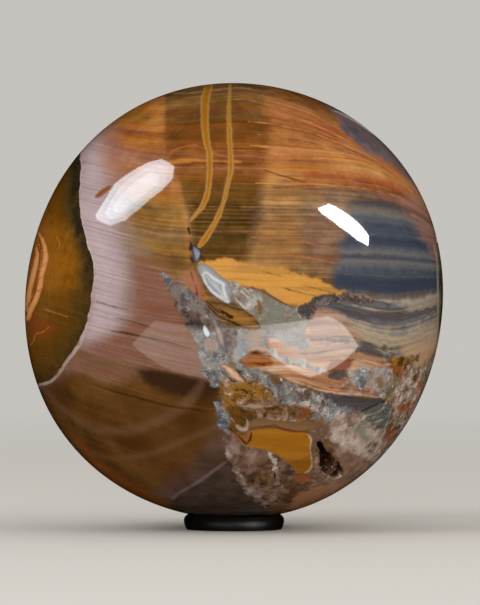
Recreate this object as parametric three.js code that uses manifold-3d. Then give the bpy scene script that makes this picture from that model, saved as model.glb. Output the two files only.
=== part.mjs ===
// A polished agate ball with one crystal-lined vug, resting on a small black ring stand.
// Units are millimetres and +Z is up. The origin is on the table, under the middle of the ball.
// The viewer looks along +Y, so the decorated face and the vug are on the -Y side.
import * as THREE from "three";
import { mergeVertices } from "three/addons/utils/BufferGeometryUtils.js";
import Module from "manifold-3d";

const wasm = await Module();
wasm.setup();

// The ball: a hand-ground stone, so it is a little taller than it is wide and not quite even.
const BALL = {
  meanRadius: 51.36,
  tall: 0.0422, // share by which the poles stand out over the sides
  lean: 0.0154, // share by which it leans towards its upper right and lower left
  square: 0.0105, // share by which its shoulders are full
  twist: 0.0195, // share by which the lean turns between the sides and the poles
  detail: 14, // splits of each edge of the icosahedron
};
const BALL_CENTRE_HEIGHT = 54.6;
const GAP = 0.3; // between solids that rest on each other

// The ring stand: a moulded ring with a round rim and a flat foot.
const RING = {
  outerRadius: 12,
  innerRadius: 8.7,
  height: 3.7,
  rimRadius: 1.55,
  footInset: 0.7, // how far the foot stands in from the widest line
  segments: 56,
};

// The vug: a long pocket at the lower right of the face, with quartz points on its wall.
const VUG = {
  mouth: new THREE.Vector3(21.5, -27.9, -37.2), // from the ball's centre
  runsTowards: new THREE.Vector3(3.8, 14.5, -9.6),
  halfLength: 9,
  halfWidth: 3.3,
  depth: 6.8,
  waviness: 0.07,
  detail: 4,
};
const CRUST = {
  thickness: 0.7,
  belowMouth: 0.8, // how far the crust stops short of the polished face
  points: 38,
  pointRadius: 0.55,
  pointShaft: 0.5,
  pointTip: 0.7,
};

const STONE_FINISH = { color: 0x9a6b3c, roughness: 0.08, metalness: 0 };
const CRYSTAL_FINISH = { color: 0x8d7766, roughness: 0.25, metalness: 0 };
const RING_FINISH = { color: 0x0c0b0a, roughness: 0.22, metalness: 0 };

// A closed geometry as a solid, with the vertices that its faces share merged.
function solidOf(geometry) {
  const bare = geometry.clone();
  bare.deleteAttribute("normal");
  bare.deleteAttribute("uv");
  const merged = mergeVertices(bare, 1e-4);
  return new wasm.Manifold(
    new wasm.Mesh({
      numProp: 3,
      vertProperties: new Float32Array(merged.attributes.position.array),
      triVerts: new Uint32Array(merged.index.array),
    }),
  );
}

// A solid as a geometry with flat faces.
function geometryOf(solid) {
  const mesh = solid.getMesh();
  const geometry = new THREE.BufferGeometry();
  geometry.setAttribute("position", new THREE.BufferAttribute(mesh.vertProperties, 3));
  geometry.setIndex(new THREE.BufferAttribute(mesh.triVerts, 1));
  geometry.computeVertexNormals();
  return geometry;
}

// Moves every vertex of a geometry to the place that a function gives for it.
function reshape(geometry, place) {
  const positions = geometry.attributes.position;
  const point = new THREE.Vector3();
  for (let i = 0; i < positions.count; i++) {
    point.fromBufferAttribute(positions, i);
    place(point);
    positions.setXYZ(i, point.x, point.y, point.z);
  }
  return geometry;
}

// The ball's radius in the direction of a unit vector.
function ballRadius({ x, z }) {
  const outOfRound =
    BALL.tall * (z * z - 0.5) +
    BALL.lean * x * z +
    BALL.square * (4 * x * x * z * z - 0.5) +
    BALL.twist * x * z * (x * x - z * z);
  return BALL.meanRadius * (1 + outOfRound);
}

// The ball about its own centre, grown by a margin.
function ball(margin = 0) {
  const geometry = new THREE.IcosahedronGeometry(1, BALL.detail);
  return solidOf(reshape(geometry, (p) => p.multiplyScalar(ballRadius(p.normalize()) + margin)));
}

// The frame of the vug: x along its length, y across it, z out of the stone.
function vugFrame() {
  const out = VUG.mouth.clone().normalize();
  const along = VUG.runsTowards.clone().projectOnPlane(out).normalize();
  const across = new THREE.Vector3().crossVectors(out, along);
  return new THREE.Matrix4().makeBasis(along, across, out).setPosition(VUG.mouth);
}

// How far the pocket's wall swells out or in, for a direction from its middle.
function wallWave({ x, y, z }) {
  return 1 + VUG.waviness * Math.sin(7 * x + 2 * y) * Math.cos(5 * z - 3 * y);
}

// The pocket, drawn in by an inset, in the ball's own frame.
function pocket(inset) {
  const geometry = new THREE.IcosahedronGeometry(1, VUG.detail);
  reshape(geometry, (p) => {
    const wave = wallWave(p.normalize());
    p.multiply(new THREE.Vector3(VUG.halfLength - inset, VUG.halfWidth - inset, VUG.depth - inset));
    p.multiplyScalar(wave);
  });
  return solidOf(geometry.applyMatrix4(vugFrame()));
}

// One quartz point, six-sided, standing on the wall and leaning towards the pocket's middle.
function quartzPoint(direction, size) {
  const profile = [
    new THREE.Vector2(0, 0),
    new THREE.Vector2(size * CRUST.pointRadius, 0),
    new THREE.Vector2(size * CRUST.pointRadius * 0.9, size * CRUST.pointShaft),
    new THREE.Vector2(0, size * (CRUST.pointShaft + CRUST.pointTip)),
  ];
  const reach = GAP + CRUST.thickness * 0.7;
  const foot = direction.clone().multiply(
    new THREE.Vector3(VUG.halfLength - reach, VUG.halfWidth - reach, VUG.depth - reach),
  );
  const inwards = new THREE.Vector3(-foot.x * 0.25, -foot.y, -foot.z).normalize();
  const turn = new THREE.Quaternion().setFromUnitVectors(new THREE.Vector3(0, 1, 0), inwards);
  const place = new THREE.Matrix4().compose(foot, turn, new THREE.Vector3(1, 1, 1));
  return solidOf(new THREE.LatheGeometry(profile, 6).applyMatrix4(place).applyMatrix4(vugFrame()));
}

// The crust that lines the pocket: a thin wall with quartz points, open at the mouth.
function crust() {
  const goldenAngle = Math.PI * (3 - Math.sqrt(5));
  let lining = pocket(GAP).subtract(pocket(GAP + CRUST.thickness));
  for (let i = 0; i < CRUST.points; i++) {
    const height = -1 + (0.92 * (i + 0.5)) / CRUST.points;
    const level = Math.sqrt(1 - height * height);
    const turn = goldenAngle * i;
    const direction = new THREE.Vector3(level * Math.cos(turn), level * Math.sin(turn), height);
    lining = lining.add(quartzPoint(direction, 0.75 + 0.35 * Math.sin(2.3 * i) ** 2));
  }
  return lining.intersect(pocket(GAP)).intersect(ball(-CRUST.belowMouth));
}

// The ring's section, from its foot round the outside and over the rim to the bore.
function ringSection() {
  const { outerRadius, innerRadius, height, rimRadius, footInset } = RING;
  const section = new THREE.Path();
  section.moveTo(innerRadius, 0);
  section.lineTo(outerRadius - footInset, 0);
  section.quadraticCurveTo(outerRadius, footInset, outerRadius, height - rimRadius);
  section.absarc(outerRadius - rimRadius, height - rimRadius, rimRadius, 0, Math.PI / 2);
  section.lineTo(innerRadius, height);
  section.lineTo(innerRadius, 0);
  return section.getPoints(6);
}

// The ring stand about its own axis, with a seat that follows the ball.
function ringStand() {
  const ring = new THREE.LatheGeometry(ringSection(), RING.segments).rotateX(Math.PI / 2);
  return solidOf(ring).subtract(ball(GAP).translate([0, 0, BALL_CENTRE_HEIGHT]));
}

function part(name, solid, finish, height = 0) {
  const mesh = new THREE.Mesh(geometryOf(solid), new THREE.MeshStandardMaterial(finish));
  mesh.name = name;
  mesh.position.z = height;
  return mesh;
}

const agateSphere = new THREE.Group();
agateSphere.add(
  part("stone", ball().subtract(pocket(0)), STONE_FINISH, BALL_CENTRE_HEIGHT),
  part("vug_crystals", crust(), CRYSTAL_FINISH, BALL_CENTRE_HEIGHT),
  part("ring_stand", ringStand(), RING_FINISH),
);

export default agateSphere;
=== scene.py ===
# A polished agate ball with a crystal-lined vug, on a small black ring stand.
import math

import bmesh
import bpy
import numpy as np
from mathutils import Matrix, Vector, noise


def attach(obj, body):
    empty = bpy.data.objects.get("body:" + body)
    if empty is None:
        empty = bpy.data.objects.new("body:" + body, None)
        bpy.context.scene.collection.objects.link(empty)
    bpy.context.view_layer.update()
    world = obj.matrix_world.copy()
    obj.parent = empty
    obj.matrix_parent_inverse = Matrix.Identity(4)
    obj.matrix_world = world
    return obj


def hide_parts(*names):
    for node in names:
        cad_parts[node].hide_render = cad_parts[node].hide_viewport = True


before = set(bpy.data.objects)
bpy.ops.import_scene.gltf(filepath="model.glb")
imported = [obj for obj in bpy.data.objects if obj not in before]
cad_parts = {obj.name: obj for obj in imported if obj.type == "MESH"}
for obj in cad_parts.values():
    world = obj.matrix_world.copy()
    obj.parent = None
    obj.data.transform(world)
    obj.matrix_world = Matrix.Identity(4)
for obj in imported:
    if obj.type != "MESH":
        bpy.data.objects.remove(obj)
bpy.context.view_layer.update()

# The frame of the photograph. Outlines on the stone are drawn in its pixels, x to the right and
# y down, because that is the face that the stone was drawn from.
PICTURE = (480, 605)
MM_PER_PIXEL = 0.2393  # at the ball's centre
CENTRE_PIXEL = (234.0, 301.0)  # where the ball's centre is seen
CAMERA_DISTANCE = 1200.0  # mm

# The ball, in millimetres, shaped as its solid is.
MEAN_RADIUS = 51.36
OUT_OF_ROUND = {"tall": 0.0422, "lean": 0.0154, "square": 0.0105, "twist": 0.0195}
SKIN = 0.05  # the drawn surface lies this far inside the solid's
CENTRE_HEIGHT = 54.6
BACK_TURN = math.radians(30)  # how far the layers have turned at the back of the ball
BACK_SHIFT = (46.0, -52.0)  # how far they have moved there, in pixels
BACK_WAVER = ((20.0, 34.0), (16.0, 45.0))  # and how far they waver, over how many pixels
BACK_ONSET = 1.3  # how late this sets in on the way to the back: with 1 it would be even

MM = 0.001


def linear(hex_colour):
    """An sRGB hex colour as the linear values that a shader takes."""
    parts = [int(hex_colour[i : i + 2], 16) / 255 for i in (1, 3, 5)]
    return [p / 12.92 if p <= 0.04045 else ((p + 0.055) / 1.055) ** 2.4 for p in parts] + [1.0]


def node(tree, kind, settings=None, links=None):
    """Adds a node with its settings, and sets or links its inputs by name or number."""
    made = tree.nodes.new(kind)
    for name, value in (settings or {}).items():
        setattr(made, name, value)
    for name, value in (links or {}).items():
        if isinstance(value, bpy.types.NodeSocket):
            tree.links.new(value, made.inputs[name])
        else:
            made.inputs[name].default_value = value
    return made


def new_material(name):
    """A material with nothing in its node tree yet, and that tree."""
    material = bpy.data.materials.new(name)
    material.use_nodes = True
    material.node_tree.nodes.clear()
    return material, material.node_tree


def as_mesh(form, name):
    """The mesh of a form that is finished with."""
    mesh = bpy.data.meshes.new(name)
    form.to_mesh(mesh)
    form.free()
    return mesh


def in_scene(name, data):
    """A mesh, a lamp or a camera, put in the scene as an object."""
    made = bpy.data.objects.new(name, data)
    bpy.context.scene.collection.objects.link(made)
    return made


# Places on the ball.
def ball_radius(directions):
    """The ball's radius in millimetres in each direction, as in its solid."""
    x, z = directions[:, 0], directions[:, 2]
    share = (
        OUT_OF_ROUND["tall"] * (z * z - 0.5)
        + OUT_OF_ROUND["lean"] * x * z
        + OUT_OF_ROUND["square"] * (4 * x * x * z * z - 0.5)
        + OUT_OF_ROUND["twist"] * x * z * (x * x - z * z)
    )
    return MEAN_RADIUS * (1 + share) - SKIN


def seen_place(points):
    """Where each point, in mm from the ball's centre, lies in the photograph. Behind the middle
    the layers turn and shift little by little, so that the back isn't the front's mirror image."""
    closer = CAMERA_DISTANCE / (CAMERA_DISTANCE + points[:, 1])
    across = points[:, 0] * closer / MM_PER_PIXEL
    down = -points[:, 2] * closer / MM_PER_PIXEL
    behind = np.clip(points[:, 1] / MEAN_RADIUS, 0, None) ** BACK_ONSET
    turn = BACK_TURN * behind
    turned_across = across * np.cos(turn) - down * np.sin(turn) + BACK_SHIFT[0] * behind
    turned_down = across * np.sin(turn) + down * np.cos(turn) + BACK_SHIFT[1] * behind
    turned_across += BACK_WAVER[0][0] * behind * np.sin(down / BACK_WAVER[0][1] + 1)
    turned_down += BACK_WAVER[1][0] * behind * np.sin(across / BACK_WAVER[1][1])
    return np.column_stack([CENTRE_PIXEL[0] + turned_across, CENTRE_PIXEL[1] + turned_down])


CURVE_STEPS = 4  # straight lines to each round stretch of an outline


def rounded(points, closed):
    """The line through the points, with round stretches between them."""
    p = np.array(points, float)
    if closed:
        around = (np.arange(len(p))[:, None] + (-1, 0, 1, 2)) % len(p)
    else:
        around = np.clip(np.arange(len(p) - 1)[:, None] + (-1, 0, 1, 2), 0, len(p) - 1)
    a, b, c, d = (p[around[:, k]][:, None] for k in range(4))
    t = (np.arange(CURVE_STEPS) / CURVE_STEPS)[None, :, None]
    curve = b + 0.5 * t * (c - a + t * (2 * a - 5 * b + 4 * c - d + t * (3 * (b - c) + d - a)))
    curve = curve.reshape(-1, p.shape[1])
    return curve if closed else np.vstack([curve, p[-1]])


FAR = 14.0  # mm outside an outline, past which its distance isn't worked out
CLEAR = 0.9  # mm beside a stroke, past which a place counts as far from it


def inside_outline(places, outline, sharp=False):
    """How many millimetres each place is inside a closed outline; negative outside."""
    line = np.array(outline, float) if sharp else rounded(outline, True)
    margin = FAR / MM_PER_PIXEL
    near = np.all((places > line.min(0) - margin) & (places < line.max(0) + margin), axis=1)
    spots = places[near]
    gap, within = np.full(len(spots), np.inf), np.zeros(len(spots), bool)
    for a, b in zip(line, np.roll(line, -1, 0)):
        step = b - a
        share = np.clip((spots - a) @ step / max(step @ step, 1e-9), 0, 1)
        gap = np.minimum(gap, np.linalg.norm(spots - a - share[:, None] * step, axis=1))
        crosses = (a[1] > spots[:, 1]) != (b[1] > spots[:, 1])
        rise = np.where(step[1] == 0, 1e-9, step[1])
        within ^= crosses & (spots[:, 0] < a[0] + step[0] * (spots[:, 1] - a[1]) / rise)
    result = np.full(len(places), -FAR)
    result[near] = np.maximum(np.where(within, gap, -gap) * MM_PER_PIXEL, -FAR)
    return result


def across_stroke(places, stroke):
    """For each place, how far it is to the side of a stroke and the stroke's half width there,
    both in mm. A stroke is a list of points (x, y, width), all in pixels."""
    line = rounded(stroke, False)
    all_side, all_half = np.full(len(places), FAR), np.zeros(len(places))
    margin = 2 * CLEAR / MM_PER_PIXEL + line[:, 2].max()
    near = np.all((places > line.min(0)[:2] - margin) & (places < line.max(0)[:2] + margin), axis=1)
    places = places[near]
    side, half = all_side[near], all_half[near]
    best = np.full(len(places), np.inf)
    last = len(line) - 2
    for i, (a, b) in enumerate(zip(line[:-1], line[1:])):
        step = b[:2] - a[:2]
        length = np.linalg.norm(step)
        along = (places - a[:2]) @ step / length
        share = np.clip(along, -np.inf if i == 0 else 0, np.inf if i == last else length)
        offset = places - a[:2] - share[:, None] * step / length
        gap = np.linalg.norm(offset, axis=1)
        past = np.maximum(-along, 0) + np.maximum(along - length, 0)
        reach = np.hypot(gap, past)
        sign = np.sign(step[0] * offset[:, 1] - step[1] * offset[:, 0])
        width = a[2] + (b[2] - a[2]) * np.clip(along / length, 0, 1)
        closer = reach < best
        best = np.where(closer, reach, best)
        side = np.where(closer, gap * sign, side)
        half = np.where(closer, width / 2 - past, half)
    all_side[near], all_half[near] = side * MM_PER_PIXEL, half * MM_PER_PIXEL
    return all_side, all_half


def across_strokes(places, strokes):
    """The same for several strokes, each place by the stroke that it is deepest in."""
    side, half = across_stroke(places, strokes[0])
    for stroke in strokes[1:]:
        next_side, next_half = across_stroke(places, stroke)
        closer = next_half - abs(next_side) > half - abs(side)
        side, half = np.where(closer, next_side, side), np.where(closer, next_half, half)
    half = np.where(abs(side) > half + CLEAR, -FAR, half)
    return side, half


# The layers of the stone. Each line follows one layer from left to right; its level is the height
# at which it crosses the middle of the face, so a level is the same all along a layer.
LAYER_LINES = {
    60: ((10, 40), (190, 50), (300, 60), (445, 160)),
    118: ((10, 105), (160, 112), (230, 104), (259, 107), (312, 123), (377, 157), (406, 180), (440, 206)),
    128: ((10, 112), (160, 122), (230, 118), (289, 125), (333, 139), (377, 161), (406, 183), (440, 209)),
    158: (
        (10, 120), (100, 142), (150, 154), (200, 157), (300, 157), (340, 158), (377, 166), (406, 186),
        (440, 214),
    ),
    168: (
        (10, 138), (100, 154), (150, 164), (200, 167), (300, 168), (340, 171), (380, 178), (406, 189),
        (440, 220),
    ),
    191: ((10, 156), (90, 174), (150, 187), (200, 190), (330, 193), (380, 198), (415, 210), (440, 231)),
    225: ((10, 186), (90, 206), (150, 220), (200, 224), (330, 226), (400, 229), (440, 238)),
    265: ((10, 218), (93, 243), (150, 258), (200, 264), (330, 265), (400, 267), (440, 270)),
    300: (
        (10, 250), (90, 278), (150, 293), (200, 300), (330, 300), (345, 303), (385, 311), (410, 308),
        (440, 300),
    ),
    330: (
        (10, 275), (90, 305), (150, 320), (200, 326), (330, 322), (366, 331), (398, 337), (415, 332),
        (440, 321),
    ),
    352: (
        (10, 295), (75, 320), (113, 331), (139, 336), (196, 350), (300, 352), (352, 345), (390, 354),
        (440, 337),
    ),
    395: ((10, 330), (75, 350), (150, 372), (217, 385), (289, 381), (331, 393), (359, 398), (440, 390)),
    425: ((10, 355), (64, 371), (93, 382), (135, 396), (167, 405), (211, 414), (330, 425), (440, 425)),
    480: ((10, 410), (100, 446), (180, 474), (260, 484), (440, 480)),
    560: ((10, 520), (100, 540), (200, 552), (440, 560)),
}
LAYER_CURVES = {level: rounded(line, False) for level, line in LAYER_LINES.items()}
THINNEST_LAYER = 0.5  # pixels between two guide lines, where they pinch together


def layer_heights(across):
    """How far down each guide line is, at each place across the picture."""
    return [np.interp(across, curve[:, 0], curve[:, 1]) for curve in LAYER_CURVES.values()]


def layer_level(places):
    """The level of the stone's layers at each place."""
    levels = list(LAYER_LINES)
    heights = layer_heights(places[:, 0])
    result = levels[0] + places[:, 1] - heights[0]
    for i in range(len(levels) - 1):
        share = (places[:, 1] - heights[i]) / np.maximum(heights[i + 1] - heights[i], THINNEST_LAYER)
        here = levels[i] + share * (levels[i + 1] - levels[i])
        result = np.where(share > 0, here, result)
    return result


# A line along a layer: the pixels between its points, how far it wavers in pixels, the share of its
# width in its middle and how much that changes, the share at its ends, and the fewest points.
LINE_STEP, LINE_WAVER, LINE_SWELL, LINE_TIP, FEWEST_POINTS = 12, 1.1, (0.75, 0.7), 0.3, 5
# The noise that it wavers by, and the one that its width changes by: how far each runs on with a pixel
# across and with a level, and the noise's third place.
WAVER_NOISE, SWELL_NOISE = (0.05, 0.7, 0), (0.03, 1.3, 5)
# A growth line: its shortest length, how far before the stretch it may start, and its least width, in
# pixels, and how far it strays from its level, as a share of the levels between two lines.
SHORTEST_LINE, EARLY_START, THINNEST_LINE, LEVEL_SCATTER = 60, 40, 0.5, 0.2


def along_layer(level, start, end, width):
    """A stroke that follows one layer, from one place across the picture to another. It wavers a
    little and its width swells and shrinks, as growth lines do."""
    across = np.linspace(start, end, max(FEWEST_POINTS, int((end - start) / LINE_STEP)))
    heights = np.array(layer_heights(across))
    stroke = []
    for i, x in enumerate(across):
        height = np.interp(level, list(LAYER_LINES), heights[:, i])
        waver, change = (
            noise.noise(Vector((x * by_pixel, level * by_level, third)))
            for by_pixel, by_level, third in (WAVER_NOISE, SWELL_NOISE)
        )
        swell = LINE_SWELL[0] + LINE_SWELL[1] * change
        ends = LINE_TIP if i in (0, len(across) - 1) else 1
        stroke.append((x, height + LINE_WAVER * waver, width * swell * ends))
    return tuple(stroke)


def growth_lines(seed, first, last, step, left, right, thickest):
    """Thin lines along the layers, one every few levels, each with its own start, end and width."""
    rng = np.random.default_rng(seed)
    lines = []
    for level in np.arange(first, last, step):
        start = rng.uniform(left - EARLY_START, right - SHORTEST_LINE)
        end = start + rng.uniform(SHORTEST_LINE, right - left)
        width = rng.uniform(THINNEST_LINE, thickest)
        own_level = level + rng.uniform(-LEVEL_SCATTER, LEVEL_SCATTER) * step
        lines.append(along_layer(own_level, max(start, left), min(end, right), width))
    return tuple(lines)


# What lies over the layers. A zone is a closed outline and a stroke is a line with a width at each
# point. Each has the paint below with its own name.
ZONES = {
    # The bands of the upper half and the right.
    "fan": (
        (332, 60), (480, 60), (480, 240), (432, 226), (413, 209), (382, 203), (345, 199), (326, 197),
        (334, 150),
    ),
    "fawn_wall": ((303, 222), (345, 214), (352, 250), (346, 282), (324, 264), (306, 246)),
    "wavy_bands": (
        (316, 306), (330, 298), (345, 296), (400, 299), (470, 297), (470, 350), (436, 357), (412, 363),
        (398, 360), (380, 364), (356, 362), (340, 345), (322, 325),
    ),
    "smoky_bands": (
        (314, 302), (330, 296), (350, 294), (372, 297), (396, 303), (408, 309), (400, 320), (376, 322),
        (352, 318), (336, 311), (322, 308),
    ),
    # A lighter gold strip down the middle: partly the jasper's own gold, partly a painted reflection of a
    # wide softbox.
    "gold_sheen_column": ((264, 178), (300, 176), (299, 222), (297, 262), (248, 262), (259, 240), (263, 205)),
    "umber": (
        (163, 40), (163, 143), (167, 158), (178, 187), (183, 202), (187, 217), (190, 239), (192, 268),
        (238, 268), (250, 250), (257, 217), (262, 187), (269, 158), (270, 134), (266, 110), (262, 40),
    ),
    "amber_shoulder": (
        (88, 60), (163, 60), (163, 95), (163, 143), (167, 158), (178, 187), (183, 202), (187, 217),
        (190, 239), (192, 264), (194, 285), (170, 290), (150, 280), (138, 240), (126, 205), (110, 160),
        (102, 130),
    ),
    "slate": (
        (336, 293), (333, 280), (336, 264), (342, 255), (337, 245), (345, 236), (341, 226), (349, 216),
        (345, 207), (353, 199), (380, 197), (400, 200), (415, 209), (428, 222), (440, 240), (470, 250),
        (470, 301), (420, 296), (391, 298), (367, 296), (352, 296),
    ),
    "limb_red": (
        (399, 203), (409, 215), (419, 232), (430, 248), (440, 262), (452, 240), (438, 214), (424, 201),
        (410, 197),
    ),
    "slate_crown": (
        (310, 70), (328, 106), (339, 119), (341, 125), (349, 136), (362, 148), (377, 157), (392, 166),
        (406, 177), (422, 198), (480, 212), (480, 60),
    ),
    "crown_patch": (
        (341, 120), (352, 123), (364, 132), (374, 142), (379, 153), (366, 147), (352, 137), (344, 129),
    ),
    "crown_brown": (
        (270, 60), (330, 90), (338, 104), (340, 118), (330, 116), (312, 106), (296, 104), (270, 98),
    ),
    # The smooth stone at the left and below, and the swath across the middle.
    "mauve": (
        (0, 90), (88, 104), (99, 116), (105, 140), (110, 165), (117, 200), (125, 226), (132, 246),
        (136, 275), (134, 300), (138, 318), (126, 334), (100, 345), (75, 352), (50, 385), (0, 400),
    ),
    "rose_top": ((97, 98), (113, 108), (121, 150), (124, 178), (113, 190), (105, 165), (99, 135)),
    "sage_patch": ((122, 228), (135, 230), (148, 244), (152, 262), (137, 266), (126, 252)),
    "salmon": (
        (136, 258), (160, 266), (174, 284), (186, 322), (206, 352), (217, 384), (196, 380), (170, 373),
        (140, 373), (112, 379), (88, 373), (62, 370), (66, 360), (76, 350), (84, 346), (100, 340),
        (124, 330), (136, 300),
    ),
    "olive_patch": (
        (77, 351), (93, 356), (113, 361), (131, 365), (150, 370), (140, 375), (126, 371), (108, 368),
        (91, 364), (77, 358),
    ),
    "brown": (
        (0, 397), (40, 385), (60, 374), (84, 375), (112, 384), (140, 378), (165, 377), (192, 382),
        (220, 386), (222, 425), (232, 462), (262, 505), (262, 570), (0, 570),
    ),
    "wedge_shade": (
        (138, 369), (166, 370), (192, 377), (218, 383), (219, 394), (200, 398), (172, 395), (150, 386),
    ),
    "violet": (
        (222, 422), (230, 442), (231, 463), (206, 480), (184, 495), (160, 508), (152, 494), (186, 468),
        (205, 445),
    ),
    "dusk": (
        (170, 505), (182, 494), (204, 479), (228, 461), (245, 480), (262, 503), (270, 560), (150, 560),
    ),
    "ochre_swath": (
        (196, 262), (214, 258), (234, 261), (256, 265), (283, 270), (310, 277), (332, 287), (352, 295),
        (374, 298), (350, 301), (324, 295), (315, 300), (302, 306), (288, 305), (277, 300), (264, 291),
        (245, 288), (226, 281), (207, 270),
    ),
    # The cap at the left edge.
    "cap": (
        (79, 120), (80, 155), (81, 169), (79.5, 190), (80, 207), (83, 226), (87, 244), (93, 261),
        (94, 275), (92, 290), (90, 307), (86, 325), (82, 335), (75, 348), (69, 356), (60, 369), (51, 379),
        (38, 384), (-30, 400), (-30, 110),
    ),
    "cap_shade": ((-30, 286), (50, 290), (91, 290), (84, 325), (76, 350), (50, 384), (-30, 400)),
    "cap_glow": ((44, 232), (60, 222), (74, 240), (80, 262), (76, 290), (66, 304), (52, 300), (44, 280)),
    "cap_rust": ((30, 318), (44, 320), (56, 328), (50, 336), (38, 338), (30, 334)),
    # The broken, crystalline middle, from the left to the right.
    "rust_patch": (
        (184, 273), (192, 269), (198, 276), (203, 287), (207, 300), (200, 299), (192, 292), (186, 285),
    ),
    "speckled_vein": (
        (159, 272), (166, 275), (174, 280), (184, 287), (192, 292), (199, 298), (208, 306), (214, 313),
        (219, 319), (228, 325), (237, 330), (238, 342), (233, 353), (227, 366), (223, 384), (214, 386),
        (208, 382), (203, 369), (197, 350), (192, 336), (186, 325), (180, 311), (173, 297), (166, 284),
    ),
    "charcoal_blots": (
        (182, 313), (190, 309), (198, 316), (206, 322), (212, 330), (207, 334), (199, 331), (190, 328),
    ),
    "glassy_vein": (
        (194, 334), (204, 331), (214, 336), (222, 350), (229, 364), (222, 371), (222, 385), (213, 387),
        (206, 379), (201, 363), (196, 348),
    ),
    "rose_blot": ((204, 341), (213, 338), (219, 345), (215, 353), (207, 352)),
    "white_crystal": ((204, 324), (208, 328), (211, 334), (208, 338), (204, 335), (203, 329)),
    "pale_quartz": (
        (226, 281), (234, 284), (247, 288), (259, 291), (263, 300), (257, 309), (252, 315), (244, 310),
        (236, 304), (229, 299), (228, 290),
    ),
    "olive_quartz": (
        (256, 290), (270, 295), (286, 304), (300, 308), (310, 312), (309, 320), (296, 326), (280, 329),
        (262, 330), (256, 320), (250, 313), (256, 304),
    ),
    "brown_lens": ((257, 300), (261, 302), (263, 309), (260, 314), (257, 308)),
    "vein_tip": (
        (299, 309), (306, 304), (313, 299), (321, 295.5), (332, 294), (346, 294), (362, 296.5),
        (382, 301.5), (380, 303.5), (362, 302.5), (345, 301.5), (330, 303), (321, 305.5), (315, 310),
        (308, 320), (301, 316),
    ),
    "grey_lens": (
        (197, 264), (205, 263), (212, 268), (220, 275), (228, 282), (233, 292), (229.5, 304), (222, 300),
        (212, 293), (205, 285), (200, 276),
    ),
    "lens_core": ((208, 277), (214, 280), (220, 286), (222, 294), (214, 289), (210, 284)),
    "lavender_lens": (
        (193, 246), (197, 247), (202, 252), (202, 257), (199, 263), (195.5, 263), (193, 256),
    ),
    "amber_sliver": (
        (203, 297), (210, 300), (218, 303), (229, 305), (238, 308), (249, 313), (256, 320), (261, 327),
        (254, 329), (241, 327), (230, 321), (218, 313), (209, 304),
    ),
    "peach": (
        (243, 360), (253, 355), (266, 351), (266, 342), (262, 330), (285, 326), (310, 316), (320, 309),
        (334, 311), (347, 320), (357, 331), (360, 340), (352, 346), (360, 354), (376, 362), (393, 366),
        (394, 398), (352, 396), (331, 393), (307, 386), (288, 381), (271, 372), (256, 369),
    ),
    "pink_blush": (
        (306, 318), (322, 311), (338, 314), (350, 325), (356, 338), (350, 350), (330, 356), (300, 357),
        (280, 350), (300, 346), (310, 342),
    ),
    "pink_bank": (
        (344, 381), (356, 378), (372, 386), (390, 390), (392, 400), (374, 398), (352, 395), (338, 391),
    ),
    "brown_base": ((282, 474), (296, 484), (308, 486), (302, 497), (290, 503), (280, 494)),
    "grey_tongue": (
        (236, 329), (262, 330), (285, 326), (306, 320), (307, 335), (311, 348), (300, 348.5), (290, 347),
        (280, 343), (268, 340), (267, 346), (262, 350), (254, 352), (246, 356), (240, 363), (233, 362),
        (232, 342),
    ),
    "tongue_tint": ((250, 329), (264, 329), (263, 343), (254, 346), (247, 338)),
    "orange_tip": (
        (242, 360), (250, 354), (262, 353), (268, 357), (273, 363), (266, 367), (256, 367), (246, 367),
    ),
    "maroon": ((326, 367), (338, 361), (350, 358), (352, 366), (341, 371), (329, 373)),
    "umber_lens": ((328, 374), (335, 371), (346, 371.5), (347.5, 375), (341, 379), (331, 378.5)),
    "slate_band": (
        (288, 383), (302, 387), (314, 390), (328, 394), (349, 396), (374, 398), (392, 400), (388, 402),
        (370, 409), (355, 414), (341, 413), (327, 403), (312, 395),
    ),
    "ore_bank": (
        (234, 368), (239, 362), (247, 366), (263, 372), (275, 376), (286, 380), (302, 387), (313, 391),
        (326, 397), (338, 404), (352, 412), (346, 425), (330, 424), (310, 420), (294, 422), (271, 421),
        (256, 420), (238, 434), (226, 432), (221, 405), (224, 384),
    ),
    "golden_moss": (
        (222, 382), (234, 379), (246, 378), (256, 382), (266, 388), (271, 396), (262, 402), (255, 402),
        (249, 406), (238, 405), (230, 408), (224, 411), (222, 400),
    ),
    "moss_bank": (
        (246, 402), (262, 398), (280, 404), (300, 407), (312, 410), (310, 420), (294, 422), (271, 421),
        (256, 418), (248, 411),
    ),
    "brown_fibres": (
        (224, 411), (232, 406), (246, 408), (256, 411), (258, 419), (250, 424), (246, 431), (236, 434),
        (229, 430), (228, 416),
    ),
    "steel_blob": (
        (214.5, 404), (220, 402), (222, 409), (228, 414), (228, 426), (222, 429), (217, 425), (215, 414),
    ),
    "rust_flecks": ((294, 411), (300, 406), (308, 408), (312, 415), (304, 419), (296, 418)),
    "blue_crystals": (
        (349, 374), (356, 370), (368, 368), (380, 367), (391, 370), (395, 380), (394, 388), (384, 394),
        (374, 391), (362, 386), (352, 382),
    ),
    "gold_spot": ((377, 380), (382, 379), (384, 386), (380, 390), (377, 385)),
    "gold_bank": (
        (391, 360), (399, 356), (412, 358), (415, 365), (404, 371), (398, 378), (393, 373), (392, 366),
    ),
    "cream_side": (
        (403, 346), (420, 338), (438, 329), (441, 345), (432, 358), (421, 367), (413, 366), (411, 357),
        (402, 354),
    ),
    "jade_wedge": (
        (354, 414), (366, 409), (378, 404), (390, 400), (393, 409), (389, 422), (383, 432), (376, 429),
        (366, 423),
    ),
    "limb_crystals": (
        (394, 371), (398, 378), (404, 371), (414, 366), (424, 368), (434, 357), (460, 360), (460, 430),
        (400, 490), (376, 474), (372, 462), (382, 452), (388, 440), (392, 428), (392, 410), (386, 398),
        (387, 388), (388, 376),
    ),
    "white_quartz": (
        (326, 424), (344, 415), (356, 413), (366, 422), (378, 429), (388, 440), (384, 452), (374, 464),
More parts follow.
